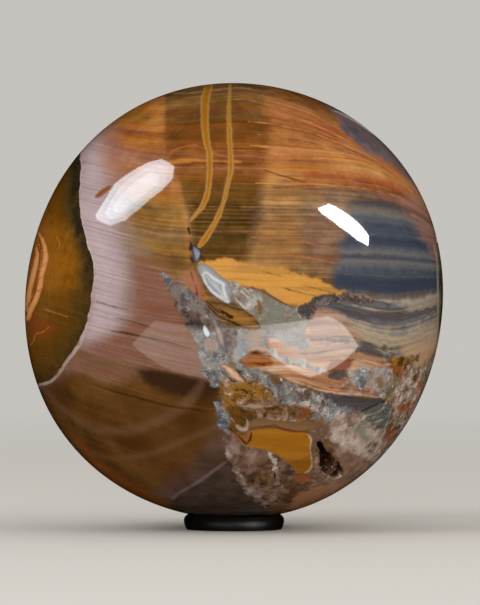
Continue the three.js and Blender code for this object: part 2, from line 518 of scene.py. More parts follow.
        (362, 462), (350, 456), (338, 446), (330, 438), (324, 431),
    ),
    "milk_blob": ((333, 430), (340, 428), (345, 434), (343, 442), (336, 442), (332, 436)),
    "sage_blob": ((355, 424), (366, 425), (374, 435), (367, 442), (358, 436)),
    "brown_quartz": (
        (326, 443), (340, 447), (356, 456), (376, 466), (376, 480), (352, 498), (330, 508), (312, 506),
        (316, 482), (338, 478), (340, 470), (336, 455),
    ),
    "mauve_seam": (
        (310, 431), (322, 423), (331, 429), (328, 441), (318, 440), (316, 452), (319, 470), (316, 480),
        (308, 476), (313, 466), (311, 452), (312, 440),
    ),
    # The lower edge of it, with the amber patch.
    "olive_strip": (
        (250, 423), (257, 418), (271, 420), (294, 421.5), (315, 420), (324, 417), (322, 424), (312, 429),
        (305, 432), (294, 431), (283, 428.5), (275, 425.5), (264, 426.5), (253, 428),
    ),
    "bottom_crystals": (
        (224, 434), (232, 437), (240, 441), (247, 445), (256, 447), (265, 449), (277, 454), (288, 462),
        (296, 469), (298, 474), (306, 474), (313, 469), (318, 480), (330, 485), (316, 488), (305, 491),
        (291, 505), (275, 504), (268, 508), (262, 504), (253, 494), (243, 483), (237, 470), (230, 458),
        (226, 447),
    ),
    "mauve_lump": ((231, 441), (240, 443), (244, 452), (238, 460), (231, 454), (228, 446)),
    "rose_lump": ((246, 448), (256, 449), (260, 456), (254, 464), (247, 461), (243, 454)),
    "olive_bead": ((257, 456), (262, 452), (267, 455), (268, 461), (263, 465), (257, 462)),
    "brown_hollow": ((258, 467), (268, 466), (274, 471), (276, 482), (270, 488), (262, 483), (257, 475)),
    "rust_lens": ((295, 476), (303, 474.5), (312, 475), (311, 480), (302, 482.5), (296, 480.5)),
    "tan_foot": (
        (288, 508), (296, 498), (305, 491), (316, 486.5), (330, 485), (348, 484), (345, 505), (310, 520),
        (280, 518),
    ),
    "ember_end": (
        (232, 430), (238, 433), (244, 436), (252, 431), (251, 439), (247, 445), (240, 441), (235, 437),
    ),
    "amber_patch": (
        (248, 440), (251, 433), (256, 430), (264, 428.5), (275, 428), (286, 431), (296, 432.5),
        (305, 432.5), (309.5, 436), (311.5, 442), (310.5, 452), (312, 463), (310.5, 469), (305, 473),
        (297, 473), (295, 467), (287, 462), (276.5, 454), (264, 449.5), (255, 447), (247, 446),
    ),
    "amber_shade": (
        (290, 462), (300, 459), (311, 455), (313, 463), (311, 470), (304, 474), (297, 473), (295, 467),
    ),
}
# Markings of one stroke each.
LONE_STROKES = {
    # Over the bands, and along the right edge.
    "arc_edge": (
        (163, 90, 5), (162, 120, 6), (160, 143, 7), (164, 158, 6), (174, 181, 8), (181, 202, 6),
        (185, 217, 5), (187.5, 232, 5), (189, 262, 5),
    ),
    "limb_peach": ((396, 173, 2), (408, 183, 4), (418, 192, 5), (425, 203, 4), (431, 216, 2)),
    "green_rim": (
        (437, 240, 2), (441, 255, 4), (443, 275, 6), (443, 310, 8), (440, 345, 9), (432, 366, 9),
        (426, 384, 7), (420, 396, 4),
    ),
    # A thin pale line just inside the right edge: a painted highlight that carries on down from the rim
    # softbox's reflection.
    "rim_highlight": (
        (434, 244, 0.8), (437, 262, 1.3), (438, 290, 1.6), (438, 318, 1.6), (436, 340, 1.4),
        (431, 355, 1.2),
    ),
    "pale_strip": ((159, 80, 10), (157.5, 103, 12), (157, 125, 12), (157, 142, 8)),
    "orange_stripe": (
        (168, 162.4, 2), (175, 162, 4), (183, 161, 5), (195, 160, 3.5), (206, 161, 2), (217, 161, 1.5),
        (234, 161.5, 2.5), (242, 162, 1),
    ),
    "stripe_shade": ((169, 164.5, 1), (183, 165, 2.4), (200, 163.5, 1.6), (224, 163, 1.6), (240, 164, 1)),
    "pink_line": (
        (168, 156, 1), (174, 150.5, 1.6), (183, 147, 1.8), (195, 145.5, 1.8), (204, 148.5, 1.6),
        (213, 153, 1.4), (227, 157, 1.8), (238, 156, 1.4), (251, 155.6, 1.2), (270, 158.6, 1.8),
        (286, 158, 1.6), (298, 156, 1.6), (312, 158, 1.2),
    ),
    # In the brown stone below.
    "violet_line": (
        (172, 500, 1), (179, 493, 1.6), (188, 488, 2), (201, 480, 2.2), (215, 470, 2), (226, 462, 1.4),
    ),
    "limb_glow": ((76, 440, 3), (94, 460, 6), (118, 480, 8), (142, 495, 9), (168, 506, 6)),
    # In the cap.
    "cap_gaps": (
        (39.5, 240, 0.8), (40.5, 248, 1.4), (40, 262, 1.4), (37.5, 275, 1.5), (35, 288, 1.5),
        (32, 299, 1.5), (28, 307, 1),
    ),
    # In the broken middle.
    "red_hairline": ((191, 272, 0.8), (193, 278, 1.5), (196, 287, 1.5), (198, 297, 1)),
    "quartz_edge": (
        (243, 286, 1), (254, 288.5, 1.5), (262, 291, 1.6), (270, 295.5, 2), (277, 299.5, 2.2),
        (286, 304.5, 1.6), (295, 308, 1.2),
    ),
    "sliver_specks": ((219, 308.5, 1.6), (222, 311, 3.6), (226, 313.5, 2), (229, 316, 3), (232, 318, 1.4)),
    "sliver_line": ((208, 305, 0.8), (213, 311, 1.4), (220, 317, 1.4), (231, 321.5, 1.6), (241, 326, 1)),
    "pearl": ((212, 317, 2), (216, 325, 6.5), (220, 335, 8), (223, 344, 6.5), (225, 351, 2)),
    "lace_vein": (
        (264, 339, 1.5), (268, 346, 4), (275, 354, 5.5), (288, 361, 6.5), (303, 363.5, 6.5), (316, 368, 7),
        (327, 370, 5),
    ),
    "tongue_ridge": ((250, 349.5, 1), (258, 348, 2.6), (266, 350, 3), (274, 356, 1.4)),
    "white_wisps": ((298, 403, 2), (312, 408, 6), (326, 413, 8), (340, 419, 5)),
    "beige_stick": ((221, 366, 3), (226, 367.5, 6), (232, 372, 8), (238, 378, 8), (243, 381, 5)),
    "patch_line": (
        (250, 429, 1.2), (258, 427.3, 1.8), (266, 426.3, 1.8), (275, 425.8, 2.2), (283, 429, 2.2),
        (294, 431.3, 2), (306, 431.3, 1.4),
    ),
    "patch_rim": (
        (308, 434, 0.8), (311, 440, 1.5), (310.5, 450, 1.5), (312, 462, 1.6), (310.5, 469, 1.5),
        (305, 473, 1.2),
    ),
    "white_cluster": ((268.5, 452, 2), (271, 457, 5), (275.5, 463, 5.5), (273.5, 469, 3)),
    "pink_bar": ((247, 406, 1.6), (256, 406.5, 3.4), (271, 406, 2)),
    "pale_curl": ((231, 418, 1.4), (236, 424, 3), (242, 430, 3.2), (247.5, 427, 2.8), (247, 420, 2)),
    "jade_edge": ((353, 415, 0.8), (366, 409.5, 1.5), (380, 403, 1.3), (390, 399.5, 0.8)),
    "vug_rim": (
        (316.5, 442, 0.8), (316.5, 452, 1.4), (316, 464, 1.4), (318, 474, 2.4), (325, 479, 3),
        (334, 479.5, 2.6), (341, 478, 1.2),
    ),
}
# Markings of several strokes each.
STROKES = {
    # Over the jasper and the brown stone.
    "ochre_vein": (
        ((210, 70, 8), (208, 88, 8.5), (205, 101, 9), (205, 114, 8.5), (205, 125, 8), (207, 143, 7),
         (209.4, 152, 6.5), (210, 165, 6.5), (209.4, 179, 6), (207, 196, 6), (202, 207, 5.5),
         (195.6, 215, 4), (190.5, 221, 2)),
        ((230, 70, 3), (230, 86, 3.2), (229, 110, 4.2), (229.5, 130, 5), (230.5, 150, 5.5),
         (231, 169, 5.5), (228, 183, 5), (225, 198, 4.5), (219, 215, 5), (211, 230, 5.5), (205, 239.5, 6),
         (199, 247, 3)),
    ),
    "crack_dark": (
        ((265, 170, 1), (276, 174, 1.3), (290, 178, 1.4), (297, 180.5, 1)),
        ((111, 331, 0.8), (126, 333, 1.8), (139, 336, 2), (164, 341, 1.5), (192, 349, 1)),
        ((92, 383, 0.8), (113, 391, 1.4), (135, 397, 1.8), (153, 402, 1.4), (175, 407, 1.6),
         (193, 409, 1.6), (212, 414, 1)),
        ((96, 301, 0.6), (112, 306, 1.1), (128, 310, 0.9)),
        ((116, 318, 0.6), (134, 322, 0.9), (150, 327, 0.7)),
    ),
    "rust_dash": (
        ((96, 197, 3), (99, 195, 5), (104, 191, 5), (110, 187, 3)),
        ((292, 179, 1.6), (299, 181, 2.6), (306, 182, 2)),
    ),
    "ochre_threads": (
        ((250, 237, 1), (270, 238, 1.6), (284, 238, 1.6), (296, 242, 2), (305, 242, 2), (315, 245, 1.8),
         (330, 247.5, 1.8), (341, 250, 1)),
        ((280, 254, 1), (296, 256, 1.8), (310, 258, 1.6), (325, 261, 1.6), (338, 263.6, 1)),
    ),
    "arc_bands": (
        ((42, 386, 3), (48, 394, 4), (60, 407, 5), (75, 419, 6), (93, 429, 7), (114, 431, 8),
         (137, 429, 10), (153, 423, 10), (170, 415, 10), (184, 406, 10), (195, 394, 10), (202, 384, 8)),
        ((90, 454, 2), (105, 457, 3), (120, 458.5, 4), (135, 457, 5), (153, 453, 5), (175, 444.5, 5),
         (197, 435, 5), (216, 427, 4)),
    ),
    # In the cap.
    "cap_bands": (
        ((38, 232, 3), (43, 241, 5), (45, 250, 6), (45.5, 259, 6.5), (42, 273, 6.5), (40, 286, 6),
         (36, 299, 6.5), (31, 309, 6.5), (28, 319, 6)),
        ((36, 247, 3), (37.5, 254, 5), (36, 264, 6.5), (33, 276, 7), (30, 288, 6.5), (28, 299, 6),
         (25, 308, 5)),
    ),
    "cap_knots": (
        ((46, 262, 0.6), (43, 266, 1.2), (39, 268, 0.6)),
        ((45, 275, 0.6), (41, 278, 1.2), (37, 279, 0.6)),
        ((42, 289, 0.6), (38, 291, 1.2), (33, 291, 0.6)),
        ((47, 251, 0.6), (44, 253, 1), (41, 253, 0.6)),
    ),
    "cap_cracks": (
        ((49, 327, 0.8), (43, 332, 1.1), (36, 334, 1.1), (34, 340, 1), (30, 346, 1)),
        ((42, 308, 0.6), (50, 311, 1), (68, 317, 0.8)),
        ((56, 236, 0.6), (60, 243, 0.9), (58, 250, 0.6)),
    ),
    # In the swath, the broken middle and the wavy bands.
    "swath_lines": (
        ((284, 288, 0.5), (300, 292.5, 1.1), (316, 296, 0.6)),
        ((300, 284, 0.5), (316, 288.5, 1.1), (336, 294, 0.6)),
        ((262, 271, 0.5), (276, 275, 0.9), (290, 278, 0.5)),
    ),
    "slit": (
        ((188.5, 228, 1), (190, 234, 2)),
        ((189.5, 239, 2), (191.5, 244, 3.2), (190.5, 250, 2.4)),
        ((191, 255, 2), (193, 262, 3), (195.5, 268, 1.2)),
    ),
    "lens_rim": (
        ((203, 275, 1.4), (206, 272.5, 1.6), (209, 274, 2), (213, 278, 2.2), (218, 281, 2.4),
         (223.5, 284, 2.6), (224, 290, 2.4), (226, 296, 2.4), (229, 302.5, 1.4)),
        ((203, 275, 1.4), (206, 283, 2), (211, 290, 2.4), (218, 296, 2.6), (229, 303, 1.4)),
    ),
    "quartz_streaks": (
        ((297, 309, 0.6), (299, 314, 1.3), (301, 318, 0.8)),
        ((234, 297, 0.6), (240, 303, 1.4), (246, 309, 0.8)),
        ((240, 290, 0.6), (247, 296, 1.2), (252, 303, 0.6)),
    ),
    "white_lumps": (((350, 437, 4), (360, 447, 9), (370, 457, 7)), ((368, 431, 4), (378, 440, 6))),
    "tip_lines": (
        ((246, 353, 0.6), (256, 352.5, 1.4), (266, 354, 1.4), (276, 358.5, 0.8)),
        ((248, 361, 0.6), (256, 363.5, 1.3), (266, 365, 0.8)),
    ),
    "stick_gap": (
        ((220, 369, 1), (226, 375, 1.6), (232, 381, 1.6), (239, 384, 1)),
        ((234, 366, 0.8), (241, 374, 1.6), (246, 381, 1)),
    ),
    "ribs_dark": (
        ((246, 359, 0.6), (256, 359, 1.2), (268, 361, 1)),
        ((306, 380, 0.6), (320, 385, 1.1), (334, 388, 1.2), (350, 389, 1), (372, 392, 0.6)),
        ((320, 372, 0.5), (336, 379, 1), (350, 380, 0.8)),
    ),
    "ribs_light": (
        ((286, 378, 0.8), (304, 384.5, 1.6), (322, 390.5, 1.8), (340, 393.5, 1.8), (360, 394.5, 1.6),
         (376, 397, 1.4), (390, 398.5, 0.8)),
        ((264, 348, 0.8), (276, 355.5, 1.2), (290, 364.5, 1.4), (306, 371, 1.2)),
        ((350, 362, 0.8), (366, 361, 1.4), (380, 365, 1.4), (392, 364, 0.8)),
    ),
    "ribs_orange": (
        ((298, 380, 1), (314, 386, 2.4), (330, 391, 2.4), (346, 391, 1.4)),
        ((344, 357, 1), (356, 356, 2), (370, 357, 2), (384, 359.5, 1)),
    ),
    "dark_wave": (
        ((318, 305, 1), (332, 307, 2), (344, 310, 3), (360, 314, 4.5), (376, 316.5, 5), (386, 317, 8),
         (398, 316, 9), (408, 316, 6), (420, 313.5, 5), (438, 307, 3)),
        ((302, 340, 0.6), (320, 340, 1.2), (340, 341, 1.8), (355, 343, 3), (373, 347, 3), (393, 349, 2.4),
         (404, 347.5, 2), (416, 343, 1.6), (430, 336, 1.2)),
        ((346, 352, 1), (358, 351, 3), (370, 353, 5.5), (383, 356, 6.5), (394, 360, 4)),
        ((336, 294.5, 1), (350, 296.5, 2), (366, 299, 2), (378, 301.5, 1.4), (390, 305, 1)),
    ),
    "light_wave": (
        ((352, 319, 1), (366, 323, 1.6), (384, 327, 2.4), (402, 326, 2), (418, 322, 1.6), (436, 314, 1)),
        ((348, 328, 1), (360, 331, 1.4), (376, 335.5, 2.4), (392, 339, 3), (408, 336, 2.6), (422, 330, 2),
         (437, 323, 1)),
        ((350, 298, 0.8), (374, 300, 1.5), (400, 301.5, 1.8), (420, 299.5, 2), (438, 295, 1.2)),
        ((326, 354, 0.6), (344, 356, 1.4), (366, 357.5, 2), (386, 360, 1.4)),
    ),
    "ember_lines": (
        ((228, 427, 1), (233, 431, 1.8), (239, 436.5, 1.8), (247, 445, 1.4)),
        ((247, 444, 0.8), (250.5, 439, 1.5), (251.5, 433, 1)),
    ),
    "ridge": (
        ((224, 439, 2), (227, 450, 4), (231, 460, 4.5), (237, 470, 4.5), (243, 481, 5.5), (250, 490, 7),
         (259, 498, 6.5), (267, 505, 3)),
        ((268, 506, 2), (274, 498, 3), (277.5, 488, 3.6), (278, 478, 3), (277, 471, 1.6)),
        ((276, 494, 1.6), (284, 490, 3.4), (290, 494, 1.6)),
    ),
    "limb_rust": (
        ((419, 383, 4), (423, 391, 6), (419, 399, 4)),
        ((398, 407, 4), (406, 409, 6.5), (414, 403, 4)),
        ((378, 449, 4), (386, 441, 8), (394, 432, 4)),
        ((396, 366, 4), (399, 372, 6), (401, 379, 3)),
    ),
    "jade_veins": (
        ((360, 417.5, 0.4), (370, 415, 0.8), (379, 411, 0.8), (385, 407, 0.5)),
        ((368, 423, 0.4), (378, 421.5, 0.8), (385, 419, 0.6)),
        ((391, 401, 1), (391, 410, 1.4), (388.5, 420, 1.4), (383, 431, 0.8)),
    ),
    "dendrite": (
        ((412, 362, 0.8), (415, 358, 2), (419, 354, 1.4), (421, 352, 0.8)),
        ((412, 355, 0.8), (416, 358.5, 1.8), (419, 361, 0.8)),
    ),
    # Two small pits, drawn as near-black marks: painted shade, with no hollow in the mesh.
    "pit_shade": (
        ((266, 505.5, 1), (268, 506, 3), (270, 506.5, 1)),
        ((274.5, 472, 0.8), (275, 476, 2), (275, 479, 0.8)),
    ),
}

# The pale rim along the cap's edge: its width in mm at some heights of the picture.
CAP_RIM = ((150, 0.22), (320, 0.3), (342, 0.9), (385, 0.7))

# Strokes that follow the layers: each line's level, where it starts and ends across the picture, and
# its width.
LAYER_STROKES = {
    "light_lines": (
        (109, 258, 320, 0.9), (119, 294, 425, 1.3), (130, 248, 412, 1.2), (149, 250, 405, 1.3),
        (159, 312, 430, 1.9), (183.5, 256, 425, 1.2),
    ),
    "faint_light_lines": (
        (101, 166, 262, 0.9), (113.5, 232, 330, 0.9), (124.5, 290, 402, 0.9), (139.5, 258, 382, 0.9),
        (153.5, 296, 420, 1.1), (164, 330, 432, 1.4), (195, 330, 418, 1.0), (214, 258, 332, 0.9),
    ),
    "red_lines": (
        (115, 300, 347, 3.4), (122, 312, 402, 3.0), (134, 296, 400, 2.2), (155.5, 345, 416, 2.2),
        (174, 300, 405, 5.0), (190.5, 375, 408, 3.0),
    ),
    "dark_lines": (
        (116.5, 190, 262, 1.3), (127, 296, 396, 1.0), (141.5, 256, 394, 1.1), (156.5, 332, 416, 1.2),
        (176.5, 352, 408, 1.5), (187.5, 268, 398, 1.9), (199.5, 250, 345, 1.1), (210, 240, 345, 1.0),
        (229, 255, 335, 0.9), (244, 262, 340, 1.2),
    ),
    "faint_dark_lines": (
        (105, 166, 262, 1.6), (122.5, 166, 268, 1.4), (136, 166, 385, 1.0), (147, 262, 402, 1.2),
        (161.5, 284, 330, 1.0), (181, 262, 340, 0.8), (193, 290, 384, 1.1), (204, 196, 262, 2.0),
        (218, 192, 262, 2.4), (233, 200, 262, 2.6),
    ),
    "slate_lines": (
        (213, 352, 410, 0.8), (232, 352, 436, 0.7), (249.5, 340, 440, 1.5), (263, 340, 436, 1.1),
        (273, 345, 436, 0.8), (287, 350, 436, 1.1),
    ),
    "slate_shades": (
        (222, 352, 430, 2.0), (241, 345, 440, 1.6), (256.5, 340, 440, 2.4), (268, 340, 438, 2.0),
        (280, 338, 440, 6.0),
    ),
    "wave_lines": (
        (300.5, 352, 440, 1.0), (309.5, 392, 440, 1.2), (325, 350, 440, 1.4), (338, 352, 440, 1.6),
        (349, 306, 420, 1.2), (359, 322, 392, 1.3), (369, 330, 398, 1.2), (379, 320, 396, 1.1),
    ),
    "wave_shades": (
        (304.5, 346, 440, 1.3), (321, 350, 440, 1.2), (332, 346, 440, 1.5), (343.5, 312, 436, 1.5),
        (354.5, 300, 415, 1.8), (364, 326, 395, 1.2), (374, 300, 392, 1.2),
    ),
}
# Growth lines over a stretch of the face: the seed of their draws, the first level, the level that
# they end before, the levels between them, the stretch's left and right, and the greatest width.
GROWTH_STROKES = {
    "growth_dark": (3, 96, 470, 9.0, 60, 440, 1.2),
    "growth_rust": (5, 100, 470, 9.0, 60, 440, 1.0),
    "growth_light": (11, 98, 430, 9.0, 96, 440, 1.1),
    "growth_straw": (17, 103, 430, 9.0, 96, 440, 0.9),
}
for name, stroke in LONE_STROKES.items():
    STROKES[name] = (stroke,)
for name, lines in LAYER_STROKES.items():
    STROKES[name] = tuple(along_layer(*line) for line in lines)
for name, spread in GROWTH_STROKES.items():
    STROKES[name] = growth_lines(*spread)

# The colours of the stone, by the maker's names for them.
PALETTE = {
    # The near-black colour is painted shade, for the pits and the deepest part of the vug.
    "black": "#000000", "white": "#ffffff", "soot": "#181412", "hollow shade": "#120c08", "ink": "#25242a",
    "char": "#332824", "seal": "#33210f", "bistre": "#463216", "umber": "#593f1a", "walnut": "#704718",
    "chestnut": "#7d481c", "russet": "#82502e", "hazel": "#785630", "loam": "#6c5034",
    "earth": "#846342", "olive tan": "#7e5e34", "bronze": "#8b632d", "cinnamon": "#955f39",
    "sienna": "#a05e36", "amber ochre": "#a96829", "terracotta": "#b46a40", "tawny": "#a86c40",
    "ochre": "#b5743e", "honey": "#b87534", "apricot": "#c58352", "marmalade": "#d8924e",
    "gold": "#c58c48", "swath gold": "#cf9446", "band peach": "#dba26e", "buff": "#94704c",
    "fawn": "#8e6544", "drab": "#826b54", "khaki": "#7c6a58", "straw": "#ad7f42", "brass": "#94621f",
    "brick": "#8a4a2c", "ember": "#b4522e", "rust": "#7e3d18", "rose tan": "#9b674e",
    "rosewood": "#81574a", "rose brown": "#84604f", "old rose": "#a97f70", "pink mauve": "#b9a4a9",
    "mauve": "#ae989d", "dusty mauve": "#98807f", "rose cream": "#c8b0a4", "plum grey": "#564a50",
    "lilac": "#75646a", "crown brown": "#84603e", "maroon": "#6c3626", "taupe": "#5c4c44",
    "mushroom": "#7a6a60", "slate": "#4b494e", "storm": "#494e5a", "navy": "#3a404f", "steel": "#5a5d64",
    "dove": "#74706f", "ash": "#8b8680", "sage grey": "#7d7a6c", "putty": "#998d78", "oat": "#ad9a80",
    "cream": "#bfa788", "tan cream": "#b08f70", "peach": "#b98a68", "pale peach": "#cda88c",
    "peach tan": "#a06e4c", "mist": "#a29d98", "pale mist": "#b4ada8", "frost": "#b3babf",
    "milk": "#d4d7d8", "ice": "#8b9299", "blue lavender": "#8389a0", "pearl": "#b3aa9e",
    "blush": "#ab9080", "sand": "#957560", "chalk": "#cdbcae",
    "snow": "#e0d5ca", "cocoa": "#74584a", "heather": "#8e776d",
    "jade black": "#23241f", "jade": "#3f4139", "jade grey": "#6a6a60", "moss black": "#2a2417",
    "moss": "#4a3a17", "burnt amber": "#663f0d", "amber": "#7a480b", "orange amber": "#9a5e22",
    "clear amber": "#a2681a", "bright amber": "#b0752a", "lichen": "#5c5a34", "brown earth": "#4a2c0e",
    "warm earth": "#6b4620", "arc brown": "#7c5c42", "violet earth": "#654f4a", "dusk": "#3b2d25",
    "dusk grey": "#53443a", "slate brown": "#4a4344", "lavender grey": "#85757a", "wedge": "#3a2415",
    "glow": "#8a4a1a", "rust brown": "#5c3618",
}

# The stone's layers from the top of the face down, as (level, colour). There is one column for each
# stretch of the face: the light jasper, the fan of bands at the right, the umber band, the amber
# shoulder, the slate, and the wavy bands under it.
LIGHT_COLUMN = (
    (84, "hazel"), (94, "russet"), (99, "cinnamon"), (106, "cinnamon"), (110, "tawny"),
    (114, "terracotta"), (118, "tawny"), (122, "sienna"), (126, "sienna"), (130, "tawny"),
    (137, "ochre"), (142, "ochre"), (147, "ochre"), (152, "apricot"), (158, "ochre"), (162, "tawny"),
    (167, "honey"), (171, "ochre"), (176, "tawny"), (182, "ochre"), (186, "fawn"), (192, "buff"),
    (202, "buff"), (208, "khaki"), (215, "drab"), (222, "buff"), (230, "fawn"), (238, "buff"),
    (246, "earth"), (256, "fawn"), (264, "earth"), (272, "loam"),
)
FAN_COLUMN = (
    (98, "cinnamon"), (108, "tawny"), (114, "terracotta"), (118, "ochre"), (121, "ember"),
    (126, "apricot"), (131, "ochre"), (134, "ochre"), (138, "terracotta"), (142, "ochre"),
    (146, "ochre"), (150, "apricot"), (154, "marmalade"), (158, "marmalade"), (161, "gold"),
    (165, "apricot"), (170, "ochre"), (174, "terracotta"), (178, "sienna"), (183, "russet"),
    (187, "rose brown"), (191, "khaki"), (195, "taupe"), (200, "mushroom"),
)
UMBER_COLUMN = (
    (84, "loam"), (92, "hazel"), (100, "loam"), (106, "hazel"), (111, "bronze"), (115, "hazel"),
    (120, "chestnut"), (125, "hazel"), (129, "walnut"), (134, "chestnut"), (139, "walnut"),
    (144, "chestnut"), (152, "chestnut"), (158, "russet"), (164, "chestnut"), (170, "russet"),
    (177, "chestnut"), (184, "walnut"), (190, "umber"), (196, "walnut"), (201, "umber"), (206, "bistre"),
    (211, "umber"), (216, "bistre"), (224, "bistre"), (230, "umber"), (235, "bistre"), (243, "umber"),
    (249, "umber"), (256, "bistre"), (261, "walnut"), (270, "bronze"),
)
SHOULDER_COLUMN = (
    (88, "hazel"), (95, "bronze"), (102, "hazel"), (110, "amber ochre"), (118, "amber ochre"),
    (124, "bronze"), (130, "amber ochre"), (138, "sienna"), (146, "amber ochre"), (154, "sienna"),
    (162, "rose tan"), (170, "rose tan"), (178, "cinnamon"), (186, "rose tan"), (191, "cinnamon"),
    (198, "amber ochre"), (206, "bronze"), (214, "olive tan"), (222, "bronze"), (230, "olive tan"),
    (238, "earth"), (246, "olive tan"), (254, "bronze"), (262, "hazel"), (270, "hazel"),
    (276, "olive tan"), (281, "rose brown"), (287, "rosewood"),
)
SLATE_COLUMN = (
    (190, "rose brown"), (194, "taupe"), (199, "slate"), (206, "mushroom"), (210, "dove"),
    (214, "steel"), (219, "steel"), (225, "storm"), (233, "storm"), (238, "navy"), (243, "storm"),
    (247, "steel"), (251, "dove"), (255, "storm"), (260, "dove"), (266, "steel"), (271, "storm"),
    (277, "navy"), (283, "navy"), (288, "slate"), (292, "dove"), (297, "dove"),
)
WAVY_COLUMN = (
    (290, "dove"), (295, "mist"), (298, "putty"), (301, "ash"), (304, "putty"), (307, "dove"),
    (310, "steel"), (314, "dove"), (318, "steel"), (321, "dove"), (324, "ash"), (328, "ash"),
    (331, "cream"), (334, "oat"), (337, "ash"), (340, "oat"), (343, "putty"), (346, "khaki"),
    (349, "putty"), (353, "dove"), (357, "tan cream"), (361, "peach tan"), (366, "peach"),
    (372, "pale peach"),
)

# How each zone and stroke is painted, from the lowest up: its name, its colour or a texture and the
# colours by that texture's value, the softness of its edge in mm, how ragged its edge is in mm, and
# its strength. The texture depth is how many mm inside its edge a place is. A last entry keeps the
# paint to patches: a texture, its value where a patch begins, and its value where the patch is full.
BANDED_LAYERS = (
    ("fan", ("level", *FAN_COLUMN), 3.0, 1.5, 1),
    ("fawn_wall", ("streak", (0, "rosewood"), (1, "khaki")), 2.6, 1.2, 0.75),
    # Partly painted reflection: the lighter gold strip where a wide softbox is mirrored.
    ("gold_sheen_column", ("streak", (0, "fawn"), (0.5, "straw"), (1, "gold")), 1.6, 0.4, 0.5),
    ("umber", ("level", *UMBER_COLUMN), 2.2, 1.2, 1),
    ("amber_shoulder", ("level", *SHOULDER_COLUMN), 1.0, 0.5, 1),
    ("arc_edge", ("streak", (0, "bronze"), (1, "ochre")), 0.8, 0.3, 0.7),
    ("pale_strip", ("streak", (0, "honey"), (1, "ochre")), 1.0, 0.4, 0.6),
    ("crown_brown", ("cloud", (0, "walnut"), (1, "cinnamon")), 1.4, 0.8, 0.8),
)
# Growth lines, the slate and the wavy bands, the swath, the peach jasper and the ochre veins.
LINE_LAYERS = (
    ("growth_dark", "bistre", 0.24, 0.3, 0.26),
    ("growth_rust", "rust", 0.24, 0.3, 0.22),
    ("growth_light", "marmalade", 0.24, 0.3, 0.3),
    ("growth_straw", "straw", 0.24, 0.3, 0.26),
    ("red_lines", ("streak", (0, "brick"), (1, "ember")), 0.5, 0.5, 0.75),
    ("dark_lines", ("cloud", (0, "umber"), (1, "rosewood")), 0.25, 0.5, 0.6),
    ("faint_dark_lines", ("cloud", (0, "umber"), (1, "rosewood")), 0.25, 0.5, 0.5),
    ("faint_light_lines", ("cloud", (0, "straw"), (1, "apricot")), 0.2, 0.35, 0.65),
    ("light_lines", ("cloud", (0, "marmalade"), (1, "apricot")), 0.2, 0.35, 0.8),
    ("slate", ("level", *SLATE_COLUMN), 1.5, 0.7, 1),
    ("slate_shades", "navy", 0.6, 0.8, 0.6),
    ("slate_lines", ("cloud", (0, "steel"), (1, "dove")), 0.3, 0.8, 0.5),
    ("limb_red", ("streak", (0, "rosewood"), (1, "old rose")), 1.4, 1.0, 0.85),
    ("slate_crown", ("cloud", (0, "dove"), (0.6, "lilac"), (1, "crown brown")), 0.9, 1.6, 1),
    ("crown_patch", ("cloud", (0, "slate"), (1, "lilac")), 0.9, 1.6, 0.9),
    ("wavy_bands", ("level", *WAVY_COLUMN), 1.2, 0.8, 1),
    ("smoky_bands", ("streak", (0, "char"), (0.4, "slate"), (0.7, "steel"), (1, "dove")), 0.9, 1.0, 0.85),
    ("ochre_swath", ("drift", (0, "gold"), (0.5, "swath gold"), (1, "gold")), 0.5, 1.4, 1),
    ("ochre_swath", "bronze", 0.8, 1.4, 0.4, ("streak", 0.62, 0.85)),
    ("swath_lines", "umber", 0.22, 0.4, 0.7),
    ("peach", ("streak", (0, "cocoa"), (0.25, "peach tan"), (0.5, "peach"), (0.8, "pale peach"),
     (1, "rose cream")), 1.1, 1.8, 1),
    ("pink_blush", ("streak", (0, "heather"), (1, "blush")), 1.4, 1.2, 0.7),
    ("pink_bank", ("ore", (0, "cocoa"), (0.5, "sand"), (1, "chalk")), 0.5, 1.4, 0.85),
    ("wave_shades", "dusk grey", 0.22, 0.5, 0.6),
    ("wave_lines", ("cloud", (0, "oat"), (1, "cream")), 0.22, 0.5, 0.7),
    ("dark_wave", ("cloud", (0, "slate"), (1, "taupe")), 0.45, 1.4, 0.85),
    ("light_wave", ("streak", (0, "putty"), (1, "cream")), 0.35, 0.7, 0.8),
    ("limb_peach", "apricot", 0.6, 0.3, 0.8),
    ("pink_line", "terracotta", 0.22, 0.35, 0.55),
    ("stripe_shade", "maroon", 0.3, 0.3, 0.7),
    ("orange_stripe", "honey", 0.35, 0.4, 0.95),
    ("ochre_threads", "tawny", 0.2, 0.4, 0.8),
    ("ochre_vein", ("depth", (0, "straw"), (0.3, "straw"), (0.55, "clear amber")), 0.3, 0.25, 0.95),
)
